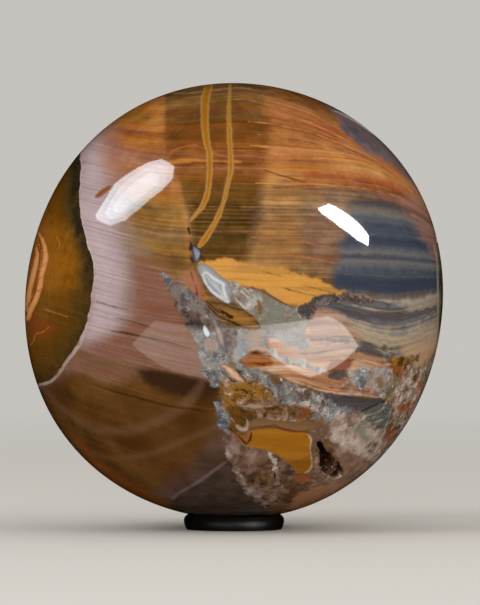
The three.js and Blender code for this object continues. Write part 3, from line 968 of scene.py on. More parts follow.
# The smooth stone at the left and below, the green edge at the right, and the cap.
SMOOTH_LAYERS = (
    ("mauve", ("from_cap", (0, "pink mauve"), (3, "pink mauve"), (6, "mauve"), (9, "dusty mauve"),
     (12.5, "old rose")), 4.0, 1.6, 0.95),
    ("rose_top", ("streak", (0, "old rose"), (1, "rose tan")), 2.4, 0.8, 0.55),
    ("sage_patch", ("cloud", (0, "sage grey"), (1, "earth")), 1.8, 0.8, 0.55),
    ("mauve", "dusty mauve", 3.0, 0.8, 0.5, ("thread", 0.6, 0.85)),
    ("mauve", "rose cream", 3.0, 0.8, 0.4, ("thread", 0.38, 0.12)),
    ("salmon", ("streak", (0, "russet"), (0.45, "rosewood"), (0.8, "rose brown"), (1, "rose tan")),
     2.6, 1.2, 0.95),
    ("salmon", "walnut", 2.6, 1.2, 0.5, ("thread", 0.66, 0.9)),
    ("rust_patch", ("cloud", (0, "cinnamon"), (1, "rose tan")), 0.6, 0.6, 1),
    ("brown", ("drift", (0, "brown earth"), (1, "warm earth")), 1.8, 1.0, 0.94),
    ("olive_patch", "loam", 1.0, 0.6, 0.8),
    ("wedge_shade", "wedge", 1.2, 0.8, 1),
    ("violet", ("drift", (0, "dusk"), (1, "violet earth")), 2.5, 0.8, 0.7),
    ("dusk", ("cloud", (0, "dusk"), (1, "dusk grey")), 0.7, 0.3, 1),
    ("limb_glow", "glow", 1.4, 0.6, 0.75),
    ("arc_bands", "arc brown", 1.0, 0.4, 0.38),
    ("violet_line", "lavender grey", 0.5, 0.2, 0.7),
    ("crack_dark", "seal", 0.25, 0.2, 0.75),
    ("rust_dash", "glow", 0.3, 0.2, 0.95),
    ("green_rim", ("cloud", (0, "jade black"), (1, "lichen")), 0.5, 0.3, 1),
    # Painted highlight along the right edge.
    ("rim_highlight", "oat", 0.2, 0.1, 0.8),
    ("cap_rim", "rose cream", 0.1, 0.5, 1),
    ("cap", ("depth", (0, "moss black"), (1.5, "moss black"), (2.8, "moss"), (4.6, "burnt amber"),
     (7, "amber"), (10, "orange amber"), (13, "orange amber")), 0.12, 0.4, 1),
    ("cap", "moss", 2.0, 1.0, 0.6, ("cloud", 0.55, 0.8)),
    ("cap_glow", ("cloud", (0, "amber"), (1, "clear amber")), 2.4, 2.0, 0.6),
    ("cap_shade", ("cloud", (0, "moss"), (1, "burnt amber")), 2.6, 1.5, 0.65),
    ("cap_bands", ("depth", (0, "rust"), (0.14, "ochre"), (0.4, "marmalade"), (0.75, "band peach")),
     0.16, 0.2, 1),
    ("cap_rust", "rust", 0.9, 1.2, 0.7),
    ("cap_gaps", "rust", 0.2, 0.1, 0.9),
    ("cap_knots", "brick", 0.16, 0.1, 0.6),
    ("cap_cracks", "honey", 0.2, 0.2, 0.7),
)
# The ribs of the peach jasper, and the broken, crystalline middle.
QUARTZ_LAYERS = (
    ("ribs_orange", "tawny", 0.4, 0.5, 0.8),
    ("ribs_light", "pale peach", 0.25, 0.4, 0.85),
    ("ribs_dark", "rust", 0.2, 0.35, 0.8),
    ("grey_tongue", ("cloud", (0, "dove"), (0.5, "ash"), (1, "mist")), 0.4, 1.6, 1),
    ("grey_tongue", "ice", 0.6, 1.6, 0.6, ("ore", 0.5, 0.75)),
    ("grey_tongue", "pale mist", 0.6, 1.6, 0.4, ("lace", 0.75, 1.0)),
    ("tongue_tint", "straw", 0.8, 1.2, 0.35),
    ("tongue_ridge", "peach", 0.5, 0.8, 0.75),
    ("orange_tip", ("streak", (0, "maroon"), (0.3, "glow"), (0.7, "tawny"), (1, "maroon")), 0.5, 1.0, 1),
    ("tip_lines", "seal", 0.25, 0.6, 0.8),
    ("lace_vein", ("ore", (0, "slate"), (0.3, "dove"), (0.6, "mist"), (1, "chalk")), 0.3, 1.4, 0.95),
    ("maroon", ("streak", (0, "maroon"), (1, "brick")), 0.5, 1.0, 0.85),
    ("umber_lens", ("cloud", (0, "char"), (1, "mushroom")), 0.3, 0.8, 1),
    ("speckled_vein", ("ore", (0, "char"), (0.25, "taupe"), (0.5, "mushroom"), (0.7, "dove"),
     (1, "pearl")), 0.25, 1.5, 1),
    ("speckled_vein", "maroon", 0.3, 1.5, 0.75, ("fleck", 0.72, 0.9)),
    ("speckled_vein", "slate", 0.3, 1.5, 0.8, ("cloud", 0.6, 0.78)),
    ("charcoal_blots", "char", 0.7, 2.2, 0.85, ("ore", 0.3, 0.45)),
    ("glassy_vein", ("ore", (0, "ink"), (0.35, "slate"), (0.6, "dove"), (0.85, "ash"), (1, "mist")),
     0.5, 1.8, 0.95),
    ("glassy_vein", "sage grey", 0.8, 1.8, 0.6, ("cloud", 0.5, 0.75)),
    ("glassy_vein", "milk", 0.5, 1.8, 0.45, ("lace", 0.78, 1.0)),
    ("rose_blot", "blush", 0.7, 1.0, 0.6),
    ("pearl", ("depth", (0, "slate"), (0.4, "dove"), (0.9, "blush")), 0.5, 0.8, 0.8),
    ("white_crystal", ("depth", (0, "steel"), (0.25, "frost"), (0.5, "milk")), 0.2, 0.3, 1),
    ("olive_quartz", ("cloud", (0, "dove"), (0.4, "sage grey"), (0.7, "khaki"), (1, "ash")), 0.35, 1.2, 1),
    ("olive_quartz", "mist", 0.4, 1.2, 0.6, ("lace", 0.8, 1.0)),
    ("pale_quartz", ("ore", (0, "taupe"), (0.3, "khaki"), (0.5, "ash"), (0.7, "mist"),
     (1, "chalk")), 0.4, 1.5, 1),
    ("pale_quartz", "chalk", 0.4, 1.5, 0.6, ("lace", 0.8, 1.0)),
    ("brown_lens", "hazel", 0.3, 0.8, 0.9),
    ("quartz_edge", "maroon", 0.25, 0.6, 0.85),
    ("quartz_streaks", "chalk", 0.25, 0.3, 0.8),
    ("amber_sliver", ("depth", (0, "seal"), (0.25, "umber"), (0.7, "hazel"), (1.4, "bronze")),
     0.22, 0.8, 1),
    ("amber_sliver", "honey", 0.4, 0.8, 0.8, ("streak", 0.5, 0.8)),
    ("sliver_line", "soot", 0.2, 0.35, 0.85),
    ("sliver_specks", "soot", 0.25, 1.2, 0.9),
    ("grey_lens", ("depth", (0, "dove"), (0.3, "ash"), (0.8, "ice"), (1.6, "mist")), 0.28, 0.9, 1),
    ("lens_core", ("depth", (0, "ice"), (0.7, "frost")), 0.4, 0.3, 0.9),
    ("lens_rim", "milk", 0.34, 0.4, 0.85),
    ("lavender_lens", ("depth", (0, "ink"), (0.3, "steel"), (0.7, "blue lavender")), 0.25, 0.6, 1),
    ("slit", "ink", 0.22, 0.8, 0.95),
    ("red_hairline", "maroon", 0.2, 0.4, 0.8),
    ("vein_tip", ("ore", (0, "ink"), (0.4, "slate brown"), (0.7, "taupe"), (1, "dove")), 0.3, 1.6, 1),
    ("vein_tip", "blush", 0.4, 1.6, 0.5, ("fleck", 0.7, 0.9)),
    ("slate_band", ("streak", (0, "char"), (0.35, "slate brown"), (0.7, "plum grey"), (1, "dove")),
     0.3, 0.9, 1),
    ("ore_bank", ("ore", (0, "ink"), (0.2, "taupe"), (0.4, "dove"), (0.6, "ash"), (0.8, "mist"),
     (1, "chalk")), 0.35, 1.8, 1),
    ("ore_bank", "loam", 0.5, 1.8, 0.7, ("cloud", 0.55, 0.75)),
    ("ore_bank", "ice", 0.5, 1.8, 0.5, ("drift", 0.55, 0.75)),
    ("ore_bank", "char", 0.5, 1.8, 0.7, ("lace", 0.75, 0.95)),
    ("ore_bank", "chalk", 0.5, 1.8, 0.8, ("fleck", 0.74, 0.98)),
    ("ore_bank", "rust", 0.5, 1.8, 0.6, ("fleck", 0.16, 0.0)),
    ("golden_moss", ("ore", (0, "seal"), (0.22, "umber"), (0.42, "bronze"), (0.58, "brass"),
     (0.75, "sand"), (1, "chalk")), 0.8, 2.0, 1),
    ("golden_moss", "brass", 0.8, 2.0, 0.5, ("cloud", 0.55, 0.75)),
    ("golden_moss", "seal", 0.8, 2.0, 0.75, ("lace", 0.7, 0.95)),
    ("golden_moss", "blush", 0.8, 2.0, 0.75, ("fleck", 0.7, 0.95)),
    ("brown_fibres", ("ore", (0, "seal"), (0.35, "umber"), (0.6, "walnut"), (0.8, "olive tan"),
     (1, "blush")), 0.7, 1.6, 1),
    ("brown_fibres", "seal", 0.7, 1.6, 0.7, ("lace", 0.75, 0.95)),
    ("beige_stick", ("depth", (0, "loam"), (0.2, "peach tan"), (0.7, "pale peach")), 0.25, 0.8, 1),
    ("stick_gap", "char", 0.25, 0.5, 0.85),
    ("moss_bank", ("ore", (0, "seal"), (0.25, "umber"), (0.5, "hazel"), (0.75, "sand"),
     (1, "blush")), 0.6, 2.0, 0.9),
    ("moss_bank", "seal", 0.6, 2.0, 0.7, ("lace", 0.75, 0.97)),
    ("white_wisps", "chalk", 0.8, 1.8, 0.75, ("lace", 0.3, 0.8)),
    ("steel_blob", ("ore", (0, "slate"), (0.4, "steel"), (0.7, "ice"), (1, "frost")), 0.35, 1.2, 1),
    ("steel_blob", "slate", 0.35, 1.2, 0.8, ("lace", 0.7, 0.95)),
    ("rust_flecks", "rust", 0.6, 1.4, 0.9, ("ore", 0.45, 0.6)),
    ("pink_bar", "blush", 0.3, 0.8, 0.8),
    ("pale_curl", ("ore", (0, "sand"), (1, "chalk")), 0.3, 1.0, 0.8),
    ("blue_crystals", ("ore", (0, "taupe"), (0.3, "dove"), (0.5, "ice"), (0.7, "mist"),
     (1, "chalk")), 0.35, 1.8, 1),
    ("blue_crystals", "slate", 0.35, 1.8, 0.6, ("lace", 0.78, 1.0)),
    ("blue_crystals", "milk", 0.35, 1.8, 0.7, ("fleck", 0.68, 0.95)),
    ("blue_crystals", "blush", 0.35, 1.8, 0.6, ("cloud", 0.5, 0.68)),
    ("gold_spot", "olive tan", 0.6, 1.6, 0.8),
    ("gold_bank", ("cloud", (0, "seal"), (0.4, "umber"), (0.7, "brass"), (1, "straw")), 0.4, 1.6, 1),
    ("cream_side", ("streak", (0, "peach"), (1, "cream")), 1.2, 1.0, 0.8),
    ("dendrite", "umber", 0.25, 0.8, 0.85),
    ("jade_wedge", ("streak", (0, "jade"), (1, "jade grey")), 0.25, 0.6, 1),
    ("jade_wedge", "mist", 0.25, 0.6, 0.65, ("lace", 0.8, 1.0)),
    ("jade_veins", "mist", 0.2, 0.5, 0.75),
    ("jade_edge", "jade black", 0.25, 0.3, 0.95),
    ("limb_crystals", ("ore", (0, "seal"), (0.22, "loam"), (0.4, "sand"), (0.6, "blush"),
     (0.8, "chalk"), (1, "snow")), 0.35, 1.8, 1),
    ("limb_crystals", "lichen", 0.5, 1.8, 0.6, ("drift", 0.6, 0.8)),
    ("limb_crystals", "seal", 0.5, 1.8, 0.6, ("lace", 0.78, 0.97)),
    ("limb_crystals", "snow", 0.5, 1.8, 0.8, ("fleck", 0.72, 0.98)),
    ("limb_rust", ("cloud", (0, "rust"), (1, "terracotta")), 0.7, 2.2, 0.8),
    ("white_quartz", ("ore", (0, "taupe"), (0.25, "mushroom"), (0.5, "blush"), (0.8, "chalk"),
     (1, "snow")), 0.9, 2.2, 1),
    ("white_quartz", "taupe", 0.9, 2.2, 0.5, ("lace", 0.8, 0.97)),
    ("sage_blob", ("cloud", (0, "sage grey"), (1, "ash")), 1.2, 1.4, 0.75),
    ("milk_blob", "chalk", 1.1, 1.4, 0.45),
    ("white_lumps", "chalk", 1.0, 1.6, 0.7),
    ("brown_quartz", ("cloud", (0, "cocoa"), (0.6, "sand"), (1, "blush")), 0.9, 1.6, 1),
    ("mauve_seam", ("ore", (0, "loam"), (0.5, "cocoa"), (1, "blush")), 0.5, 1.4, 0.95),
    ("olive_strip", ("streak", (0, "loam"), (0.6, "earth"), (1, "bronze")), 0.35, 0.9, 1),
    ("bottom_crystals", ("ore", (0, "seal"), (0.25, "loam"), (0.5, "cocoa"), (0.8, "heather"),
     (1, "blush")), 0.35, 1.6, 1),
    ("bottom_crystals", "seal", 0.35, 1.6, 0.6, ("lace", 0.78, 0.97)),
    ("bottom_crystals", "dusk", 0.6, 1.6, 0.6, ("cloud", 0.52, 0.72)),
    ("bottom_crystals", "heather", 0.6, 1.6, 0.5, ("cloud", 0.4, 0.22)),
    ("mauve_lump", ("depth", (0, "cocoa"), (0.5, "heather"), (1.6, "blush")), 0.8, 1.6, 0.6),
    ("rose_lump", ("depth", (0, "cocoa"), (0.6, "sand"), (1.4, "blush")), 0.8, 1.6, 0.6),
    ("brown_hollow", ("ore", (0, "seal"), (0.6, "loam"), (1, "sand")), 0.6, 1.6, 0.85),
    ("olive_bead", ("depth", (0, "taupe"), (0.25, "olive tan"), (0.9, "khaki")), 0.4, 1.2, 0.65),
    ("white_cluster", ("ore", (0, "blush"), (0.6, "chalk"), (1, "snow")), 0.3, 1.5, 0.95),
    ("brown_base", ("cloud", (0, "brown earth"), (1, "warm earth")), 1.0, 1.8, 0.7),
    ("rust_lens", ("cloud", (0, "rust"), (1, "tawny")), 0.35, 1.2, 0.95),
    ("tan_foot", ("cloud", (0, "peach tan"), (1, "peach")), 0.6, 1.4, 0.85),
    ("ridge", ("ore", (0, "cocoa"), (0.5, "heather"), (1, "chalk")), 0.5, 2.2, 0.85),
    ("ember_end", ("streak", (0, "glow"), (1, "tawny")), 0.3, 0.8, 1),
    ("amber_patch", ("streak", (0, "brass"), (0.5, "clear amber"), (1, "bright amber")), 0.18, 0.5, 1),
    ("amber_shade", ("streak", (0, "amber"), (1, "brass")), 0.4, 0.5, 0.9),
    ("ember_lines", "seal", 0.22, 0.4, 0.85),
    ("patch_line", "maroon", 0.2, 0.35, 0.9),
    ("patch_rim", "pale peach", 0.2, 0.4, 0.7),
    ("vug_rim", ("ore", (0, "cocoa"), (0.6, "sand"), (1, "chalk")), 0.3, 1.4, 0.9),
    # Painted shade in the pits.
    ("pit_shade", "hollow shade", 0.25, 0.2, 1),
)
# The vug's walls: sand at the mouth, then painted darker the deeper they go, down to near black, as shade
# in the hollow over the wall's own brown.
POCKET_SHADE = (
    "pocket",
    ("depth", (0, "sand"), (0.4, "cocoa"), (1.0, "brown earth"), (2.2, "seal"), (4, "hollow shade")),
    0.1, 0.1, 1,
)

# The values that don't run from 0 to 1: the layers' levels, and mm inside an edge or from the cap.
SPANS = {"level": (80.0, 376.0), "depth": (0.0, 14.0), "from_cap": (0.0, 14.0)}
GROUP_LAYERS = 8  # how many zones and strokes one node group lays

# Settings that many nodes share.
SMOOTH = {"interpolation_type": "SMOOTHSTEP", "clamp": False}
MIX = {"data_type": "RGBA"}


def paint(tree, values, colours):
    """A mineral's colour: one of the palette's, or several by the value of a texture."""
    if isinstance(colours, str):
        return linear(PALETTE[colours])
    texture, *colours = colours
    low, high = SPANS.get(texture, (0, 1))
    share = values[texture]
    if texture in SPANS:
        share = node(tree, "ShaderNodeMapRange", {"clamp": False}, {0: share, 1: low, 2: high}).outputs[0]
    ramp = node(tree, "ShaderNodeValToRGB", links={0: share})
    stops = ramp.color_ramp.elements
    stops.remove(stops[1])
    for i, (value, name) in enumerate(colours):
        place = (value - low) / (high - low)
        stop = stops.new(place) if i else stops[0]
        stop.position = place
        stop.color = linear(PALETTE[name])
    return ramp.outputs[0]


def lay(tree, values, under, layer):
    """Lays one zone or stroke over the colour that is under it."""
    name, colours, soft, ragged, strength = layer[:5]
    drawn = node(tree, "ShaderNodeAttribute", {"attribute_name": name})
    inside = drawn.outputs["Fac"]
    if name in STROKES:
        parts = node(tree, "ShaderNodeSeparateColor", links={0: drawn.outputs["Color"]}).outputs
        side = node(tree, "ShaderNodeMath", {"operation": "ABSOLUTE"}, {0: parts[0]}).outputs[0]
        inside = node(tree, "ShaderNodeMath", {"operation": "SUBTRACT"}, {0: parts[1], 1: side}).outputs[0]
    edge = node(
        tree, "ShaderNodeMath", {"operation": "MULTIPLY_ADD"}, {0: values["ragged"], 1: ragged, 2: inside}
    ).outputs[0]
    for patches, low, high in layer[5:]:
        strength = node(
            tree, "ShaderNodeMapRange", SMOOTH, {0: values[patches], 1: low, 2: high, 4: strength}
        ).outputs[0]
    mask = node(tree, "ShaderNodeMapRange", SMOOTH, {0: edge, 1: -soft, 2: soft, 4: strength})
    colour = paint(tree, {**values, "depth": edge}, colours)
    return node(tree, "ShaderNodeMix", MIX, {0: mask.outputs[0], 6: under, 7: colour}).outputs[2]


# Textures through the stone, by name: the size of their grain in mm, how many times finer they are
# across the layers, how much finer detail they have, how strong that detail is, and their swirl.
TEXTURES = {
    "streak": (24, 16, 3, 0.6, 0),
    "thread": (40, 80, 2, 0.5, 0),
    "cloud": (3.2, 0, 4, 0.55, 0),
    "drift": (12, 0, 3, 0.5, 0),
    "ragged": (2.6, 0, 3, 0.55, 0),
    "grain": (0.7, 0, 2, 0.5, 0),
    "ore": (2.8, 0, 3, 0.6, 0.6),
    "fleck": (1.3, 0, 2, 0.5, 0.5),
    "lace": (3.4, 0, 2, 0.5, 1.2),
}
NOISE_SPAN = (0.3, 0.7)  # the values that most of a noise lies between
CRYSTAL_SIZE = 0.6  # mm, the quartz grains
CRYSTAL_SHARE = 0.16  # of the ore's texture: the part that changes from grain to grain
LEVEL_WAVER = 3.0  # levels
LACE_FALL = 4  # how steeply the lace falls off beside its lines
# The fine banding over the jasper: which textures shade it, and how strongly, and the hairlines: the
# values of the texture between which they come out, their colour and their strength.
SHADING = (("streak", 0.2), ("cloud", 0.12), ("drift", 0.16))
HAIRLINES = (
    ("thread", 0.66, 0.9, "umber", 0.18),
    ("thread", 0.36, 0.12, "marmalade", 0.12),
)
FAINT_BANDING = 0.25  # the share of it that shows in the smooth zones
GRAIN_SHADE = 0.05
SHADE_RANGE = ((0.2, "black"), (0.8, "white"))


def stone_values(tree):
    """What the stone's colours and edges are worked out from: its textures, from about 0 to 1, or
    either way of 0 for the ragged edges, the level of its layers, and the distance from the cap."""
    here = node(tree, "ShaderNodeTexCoord").outputs["Object"]
    level = node(tree, "ShaderNodeAttribute", {"attribute_name": "level"}).outputs["Fac"]
    values = {}
    for name, (size, finer, detail, roughness, swirl) in TEXTURES.items():
        links = {"Vector": here, "Scale": 1 / (size * MM), "Detail": detail, "Roughness": roughness}
        links["Distortion"] = swirl
        if finer:
            by_level = finer * MM_PER_PIXEL * MM
            across = node(tree, "ShaderNodeMath", {"operation": "MULTIPLY"}, {0: level, 1: by_level})
            links["W"] = across.outputs[0]
        grain = node(tree, "ShaderNodeTexNoise", {"noise_dimensions": "4D" if finer else "3D"}, links)
        evened = node(
            tree, "ShaderNodeMapRange", {"clamp": False},
            {0: grain.outputs["Fac"], 1: NOISE_SPAN[0], 2: NOISE_SPAN[1]},
        )
        values[name] = evened.outputs[0]
    centred = node(tree, "ShaderNodeMath", {"operation": "SUBTRACT"}, {0: values["ragged"], 1: 0.5})
    values["ragged"] = centred.outputs[0]
    # Each quartz grain is a little lighter or darker than its neighbours.
    cells = node(tree, "ShaderNodeTexVoronoi", links={"Vector": here, "Scale": 1 / (CRYSTAL_SIZE * MM)})
    own = node(tree, "ShaderNodeSeparateColor", links={0: cells.outputs["Color"]})
    own_share = {0: own.outputs[0], 1: CRYSTAL_SHARE}
    shaded = node(tree, "ShaderNodeMath", {"operation": "MULTIPLY"}, own_share).outputs[0]
    summed = {0: values["ore"], 1: 1 - CRYSTAL_SHARE, 2: shaded}
    values["ore"] = node(tree, "ShaderNodeMath", {"operation": "MULTIPLY_ADD"}, summed).outputs[0]
    # The lace is highest along the lines where its noise is half way, and falls off to either side.
    middle = node(tree, "ShaderNodeMath", {"operation": "SUBTRACT"}, {0: values["lace"], 1: 0.5})
    off = node(tree, "ShaderNodeMath", {"operation": "ABSOLUTE"}, {0: middle.outputs[0]})
    values["lace"] = node(
        tree, "ShaderNodeMath", {"operation": "MULTIPLY_ADD"}, {0: off.outputs[0], 1: -LACE_FALL, 2: 1}
    ).outputs[0]
    waver = {0: values["ragged"], 1: LEVEL_WAVER, 2: level}
    values["level"] = node(tree, "ShaderNodeMath", {"operation": "MULTIPLY_ADD"}, waver).outputs[0]
    cap = node(tree, "ShaderNodeAttribute", {"attribute_name": "cap"})
    values["from_cap"] = node(
        tree, "ShaderNodeMath", {"operation": "MULTIPLY"}, {0: cap.outputs["Fac"], 1: -1}
    ).outputs[0]
    return values


def laid(tree, values, under, layers):
    """Lays zones and strokes over a colour, a few to a node group."""
    for start in range(0, len(layers), GROUP_LAYERS):
        group = bpy.data.node_groups.new(layers[start][0], "ShaderNodeTree")
        group.interface.new_socket("colour", in_out="INPUT", socket_type="NodeSocketColor")
        for name in values:
            group.interface.new_socket(name, in_out="INPUT", socket_type="NodeSocketFloat")
        group.interface.new_socket("colour", in_out="OUTPUT", socket_type="NodeSocketColor")
        given = node(group, "NodeGroupInput").outputs
        colour = given["colour"]
        for layer in layers[start : start + GROUP_LAYERS]:
            colour = lay(group, {name: given[name] for name in values}, colour, layer)
        node(group, "NodeGroupOutput", links={0: colour})
        placed = node(tree, "ShaderNodeGroup", {"node_tree": group}, {"colour": under, **values})
        under = placed.outputs[0]
    return under


def shade(tree, values, colour, texture, strength):
    """Makes a colour lighter where a texture is high and darker where it is low."""
    greys = paint(tree, values, (texture, *SHADE_RANGE))
    links = {0: strength, 6: colour, 7: greys}
    return node(tree, "ShaderNodeMix", {**MIX, "blend_type": "SOFT_LIGHT"}, links).outputs[2]


def band(tree, values, colour, share):
    """Draws the fine banding over a colour, at a share of its strength."""
    for texture, strength in SHADING:
        colour = shade(tree, values, colour, texture, strength * share)
    for texture, low, high, tint, strength in HAIRLINES:
        where = node(
            tree, "ShaderNodeMapRange", SMOOTH, {0: values[texture], 1: low, 2: high, 4: strength * share}
        )
        links = {0: where.outputs[0], 6: colour, 7: linear(PALETTE[tint])}
        colour = node(tree, "ShaderNodeMix", MIX, links).outputs[2]
    return colour


QUARTZ_IOR = 1.54
POLISHED, BROKEN = 0.05, 0.5  # the roughness of the polished face and of the stone in the vug
POLISH_ENDS = 0.3  # mm into the vug, where the polish has ended


def polished_agate():
    """Agate and jasper, ground and polished to a glassy face, so the colours look wet and deep and
    the lamps show as sharp white shapes. In the vug the stone is as it grew, and dull, and it is
    painted darker the deeper it goes, as shade."""
    material, tree = new_material("polished_agate")
    values = stone_values(tree)
    colour = paint(tree, values, ("level", *LIGHT_COLUMN))
    colour = laid(tree, values, colour, BANDED_LAYERS)
    colour = band(tree, values, colour, 1)
    colour = laid(tree, values, colour, LINE_LAYERS + SMOOTH_LAYERS)
    colour = band(tree, values, colour, FAINT_BANDING)
    colour = laid(tree, values, colour, QUARTZ_LAYERS)
    colour = shade(tree, values, colour, "grain", GRAIN_SHADE)
    # The vug's walls, with painted shade that deepens inwards.
    colour = lay(tree, values, colour, POCKET_SHADE)
    pocket = node(tree, "ShaderNodeAttribute", {"attribute_name": "pocket"})
    dull = node(
        tree, "ShaderNodeMapRange", SMOOTH,
        {0: pocket.outputs["Fac"], 1: 0, 2: POLISH_ENDS, 3: POLISHED, 4: BROKEN},
    )
    shader = node(
        tree, "ShaderNodeBsdfPrincipled",
        links={"Base Color": colour, "Roughness": dull.outputs[0], "IOR": QUARTZ_IOR},
    )
    node(tree, "ShaderNodeOutputMaterial", links={"Surface": shader.outputs[0]})
    return material


# The vug: a ragged pocket under the lower right of the face, within its solid's, in mm. Its edge is
# in the picture's pixels.
VUG_MOUTH = Vector((21.5, -27.9, -37.2))
VUG_RUN = Vector((3.8, 14.5, -9.6))
VUG_HALF_LENGTH, VUG_HALF_WIDTH, VUG_DEPTH = 9.0, 3.3, 6.8
VUG_EDGE = (
    (317, 441), (320.5, 440), (323.5, 446), (327, 451), (333, 455), (337, 461), (342, 467), (345, 473),
    (343, 478), (336, 479), (329, 477.5), (323.5, 474), (319.5, 467), (320.5, 458), (318, 450),
)
VUG_WALL = 1.5  # over which the pocket's wall falls away
VUG_FLOOR = 0.8  # how deep the floor is, as a share of VUG_DEPTH
VUG_REACH = 12.0  # round its middle, in which the mesh is finer
VUG_OUTSIDE = -1.0  # the depth given to every place well outside it
EDGE_REACH = 0.6  # more than its edge's lumps can move it
# Lumps: how much each adds, and how fine it is, in bumps per mm.
EDGE_LUMPS = ((0.35, 0.9), (0.2, 2.3))
FLOOR_LUMPS = ((0.25, 1.1),)

# The ball's mesh is a cube of even squares, blown up to the ball's shape.
MESH_CUTS = 119  # across each of its faces
MESH_PULL = 0.35  # how strongly it is drawn to the face
VUG_CUTS = 2  # more, across each edge near the vug


def vug_frame():
    """The vug's own axes: x along it, y across it, z out of the stone."""
    out = VUG_MOUTH.normalized()
    along = (VUG_RUN - VUG_RUN.dot(out) * out).normalized()
    axes = Matrix((along, out.cross(along), out)).transposed().to_4x4()
    return Matrix.Translation(VUG_MOUTH) @ axes


def drawn_to_face(directions):
    """Directions moved towards the face, so that the mesh is finest where the most is drawn."""
    away = np.arccos(np.clip(-directions[:, 1], -1, 1))
    nearer = away - MESH_PULL * np.sin(away)
    sideways = np.hypot(directions[:, 0], directions[:, 2]) + 1e-12
    across = directions[:, [0, 2]] / sideways[:, None] * np.sin(nearer)[:, None]
    return np.column_stack([across[:, 0], -np.cos(nearer), across[:, 1]])


def read_points(mesh):
    """Where a mesh's vertices are, one to a row."""
    points = np.empty(len(mesh.vertices) * 3)
    mesh.vertices.foreach_get("co", points)
    return points.reshape(-1, 3)


def unit(points):
    """The direction of each point, one unit long."""
    return points / np.linalg.norm(points, axis=1)[:, None]


def roughened(value, place, lumps):
    """A value with some lumps added to it."""
    for height, fineness in lumps:
        value += height * noise.noise(place * fineness)
    return value


def vug_depth(points):
    """How deep the vug is under each point of the face, in mm, and below nought outside it."""
    within = inside_outline(seen_place(points), VUG_EDGE, sharp=True)
    depth = np.maximum(within, VUG_OUTSIDE)
    near = np.linalg.norm(points - np.array(VUG_MOUTH), axis=1) < VUG_REACH
    depth[~near] = VUG_OUTSIDE
    for i in np.flatnonzero(near & (within > -EDGE_REACH)):
        spot = Vector(points[i])
        inside = roughened(within[i], spot, EDGE_LUMPS)
        depth[i] = inside
        if inside > 0:
            fall = min(inside / VUG_WALL, 1)
            lumps = roughened(1, spot, FLOOR_LUMPS)
            depth[i] = VUG_DEPTH * VUG_FLOOR * lumps * math.sqrt(1 - (1 - fall) ** 2)
    return depth


def draw_markings(mesh, points, depth):
    """Writes where every zone and stroke lies on the mesh, for the material to read."""
    places = seen_place(points)
    drawn = {"level": layer_level(places), "pocket": depth}
    for name, outline in ZONES.items():
        drawn[name] = inside_outline(places, outline)
    drawn["cap_rim"] = drawn["cap"] + np.interp(places[:, 1], *zip(*CAP_RIM))
    for name, strokes in STROKES.items():
        side, half = across_strokes(places, strokes)
        drawn[name] = np.column_stack([side, half, np.zeros(len(points))])
    for name, values in drawn.items():
        kind, field = ("FLOAT", "value") if values.ndim == 1 else ("FLOAT_VECTOR", "vector")
        attribute = mesh.attributes.new(name, kind, "POINT")
        attribute.data.foreach_set(field, values.astype(np.float32).ravel())


def polished_ball():
    """The stone: a ball of even quads, with its pocket pressed in and its markings as attributes."""
    form = bmesh.new()
    bmesh.ops.create_cube(form, size=2)
    bmesh.ops.subdivide_edges(form, edges=form.edges[:], cuts=MESH_CUTS, use_grid_fill=True)
    mesh = bpy.data.meshes.new("polished_ball")
    form.to_mesh(mesh)
    evened = np.tan(read_points(mesh) * math.pi / 4)
    directions = drawn_to_face(unit(evened))
    mesh.vertices.foreach_set("co", directions.ravel())
    form.clear()
    form.from_mesh(mesh)
    mouth = VUG_MOUTH.normalized()
    span = VUG_REACH / MEAN_RADIUS
    by_vug = [e for e in form.edges if all((v.co - mouth).length < span for v in e.verts)]
    bmesh.ops.subdivide_edges(form, edges=by_vug, cuts=VUG_CUTS, use_grid_fill=True)
    form.to_mesh(mesh)
    form.free()

    directions = unit(read_points(mesh))
    points = directions * ball_radius(directions)[:, None]
    depth = vug_depth(points)
    draw_markings(mesh, points, depth)
    points += np.clip(depth, 0, None)[:, None] * np.array(-mouth)
    points[:, 2] += CENTRE_HEIGHT
    mesh.vertices.foreach_set("co", (points * MM).ravel())
    mesh.shade_smooth()
    mesh.materials.append(polished_agate())
    return mesh


# The quartz crust in the vug, in mm.
CRUST_INSET = 0.45  # from the pocket of the solid
CRUST_FIT = 0.97  # the crust's share of the room that this leaves
CRUST_WALL = 0.35
CRUST_TOP, CRYSTAL_TOP = -0.9, -0.3  # how high the crust and its crystals reach, from the mouth
CRUST_LUMPS = ((0.06, 5), (0.03, 14))
CRUST_FINENESS = 5  # how often the round form that the crust is cut from is subdivided
CRYSTALS = 240
CRYSTAL_SEED = 7
CRYSTAL_BAND = 0.86  # how far up the pocket they grow from its floor, as a share of its depth
CRYSTAL_WIDTHS, CRYSTAL_LENGTHS = (0.22, 0.5), (0.7, 1.5)  # radius at the foot, and length
CRYSTAL_TIP = 0.15  # the tip's radius, as a share of the foot's
CRYSTAL_FOOTING = 0.35  # how far out its middle is, as a share of its length
CRYSTAL_AIM = 0.25  # how far back along the vug its tip aims, as a share of the way to the middle
CRYSTAL_LEAN = 0.9  # mm that its tip's aim strays by
CRYSTAL_SCATTER = 0.2  # radians that its place strays by, round the pocket
GOLDEN_ANGLE = math.pi * (3 - math.sqrt(5))


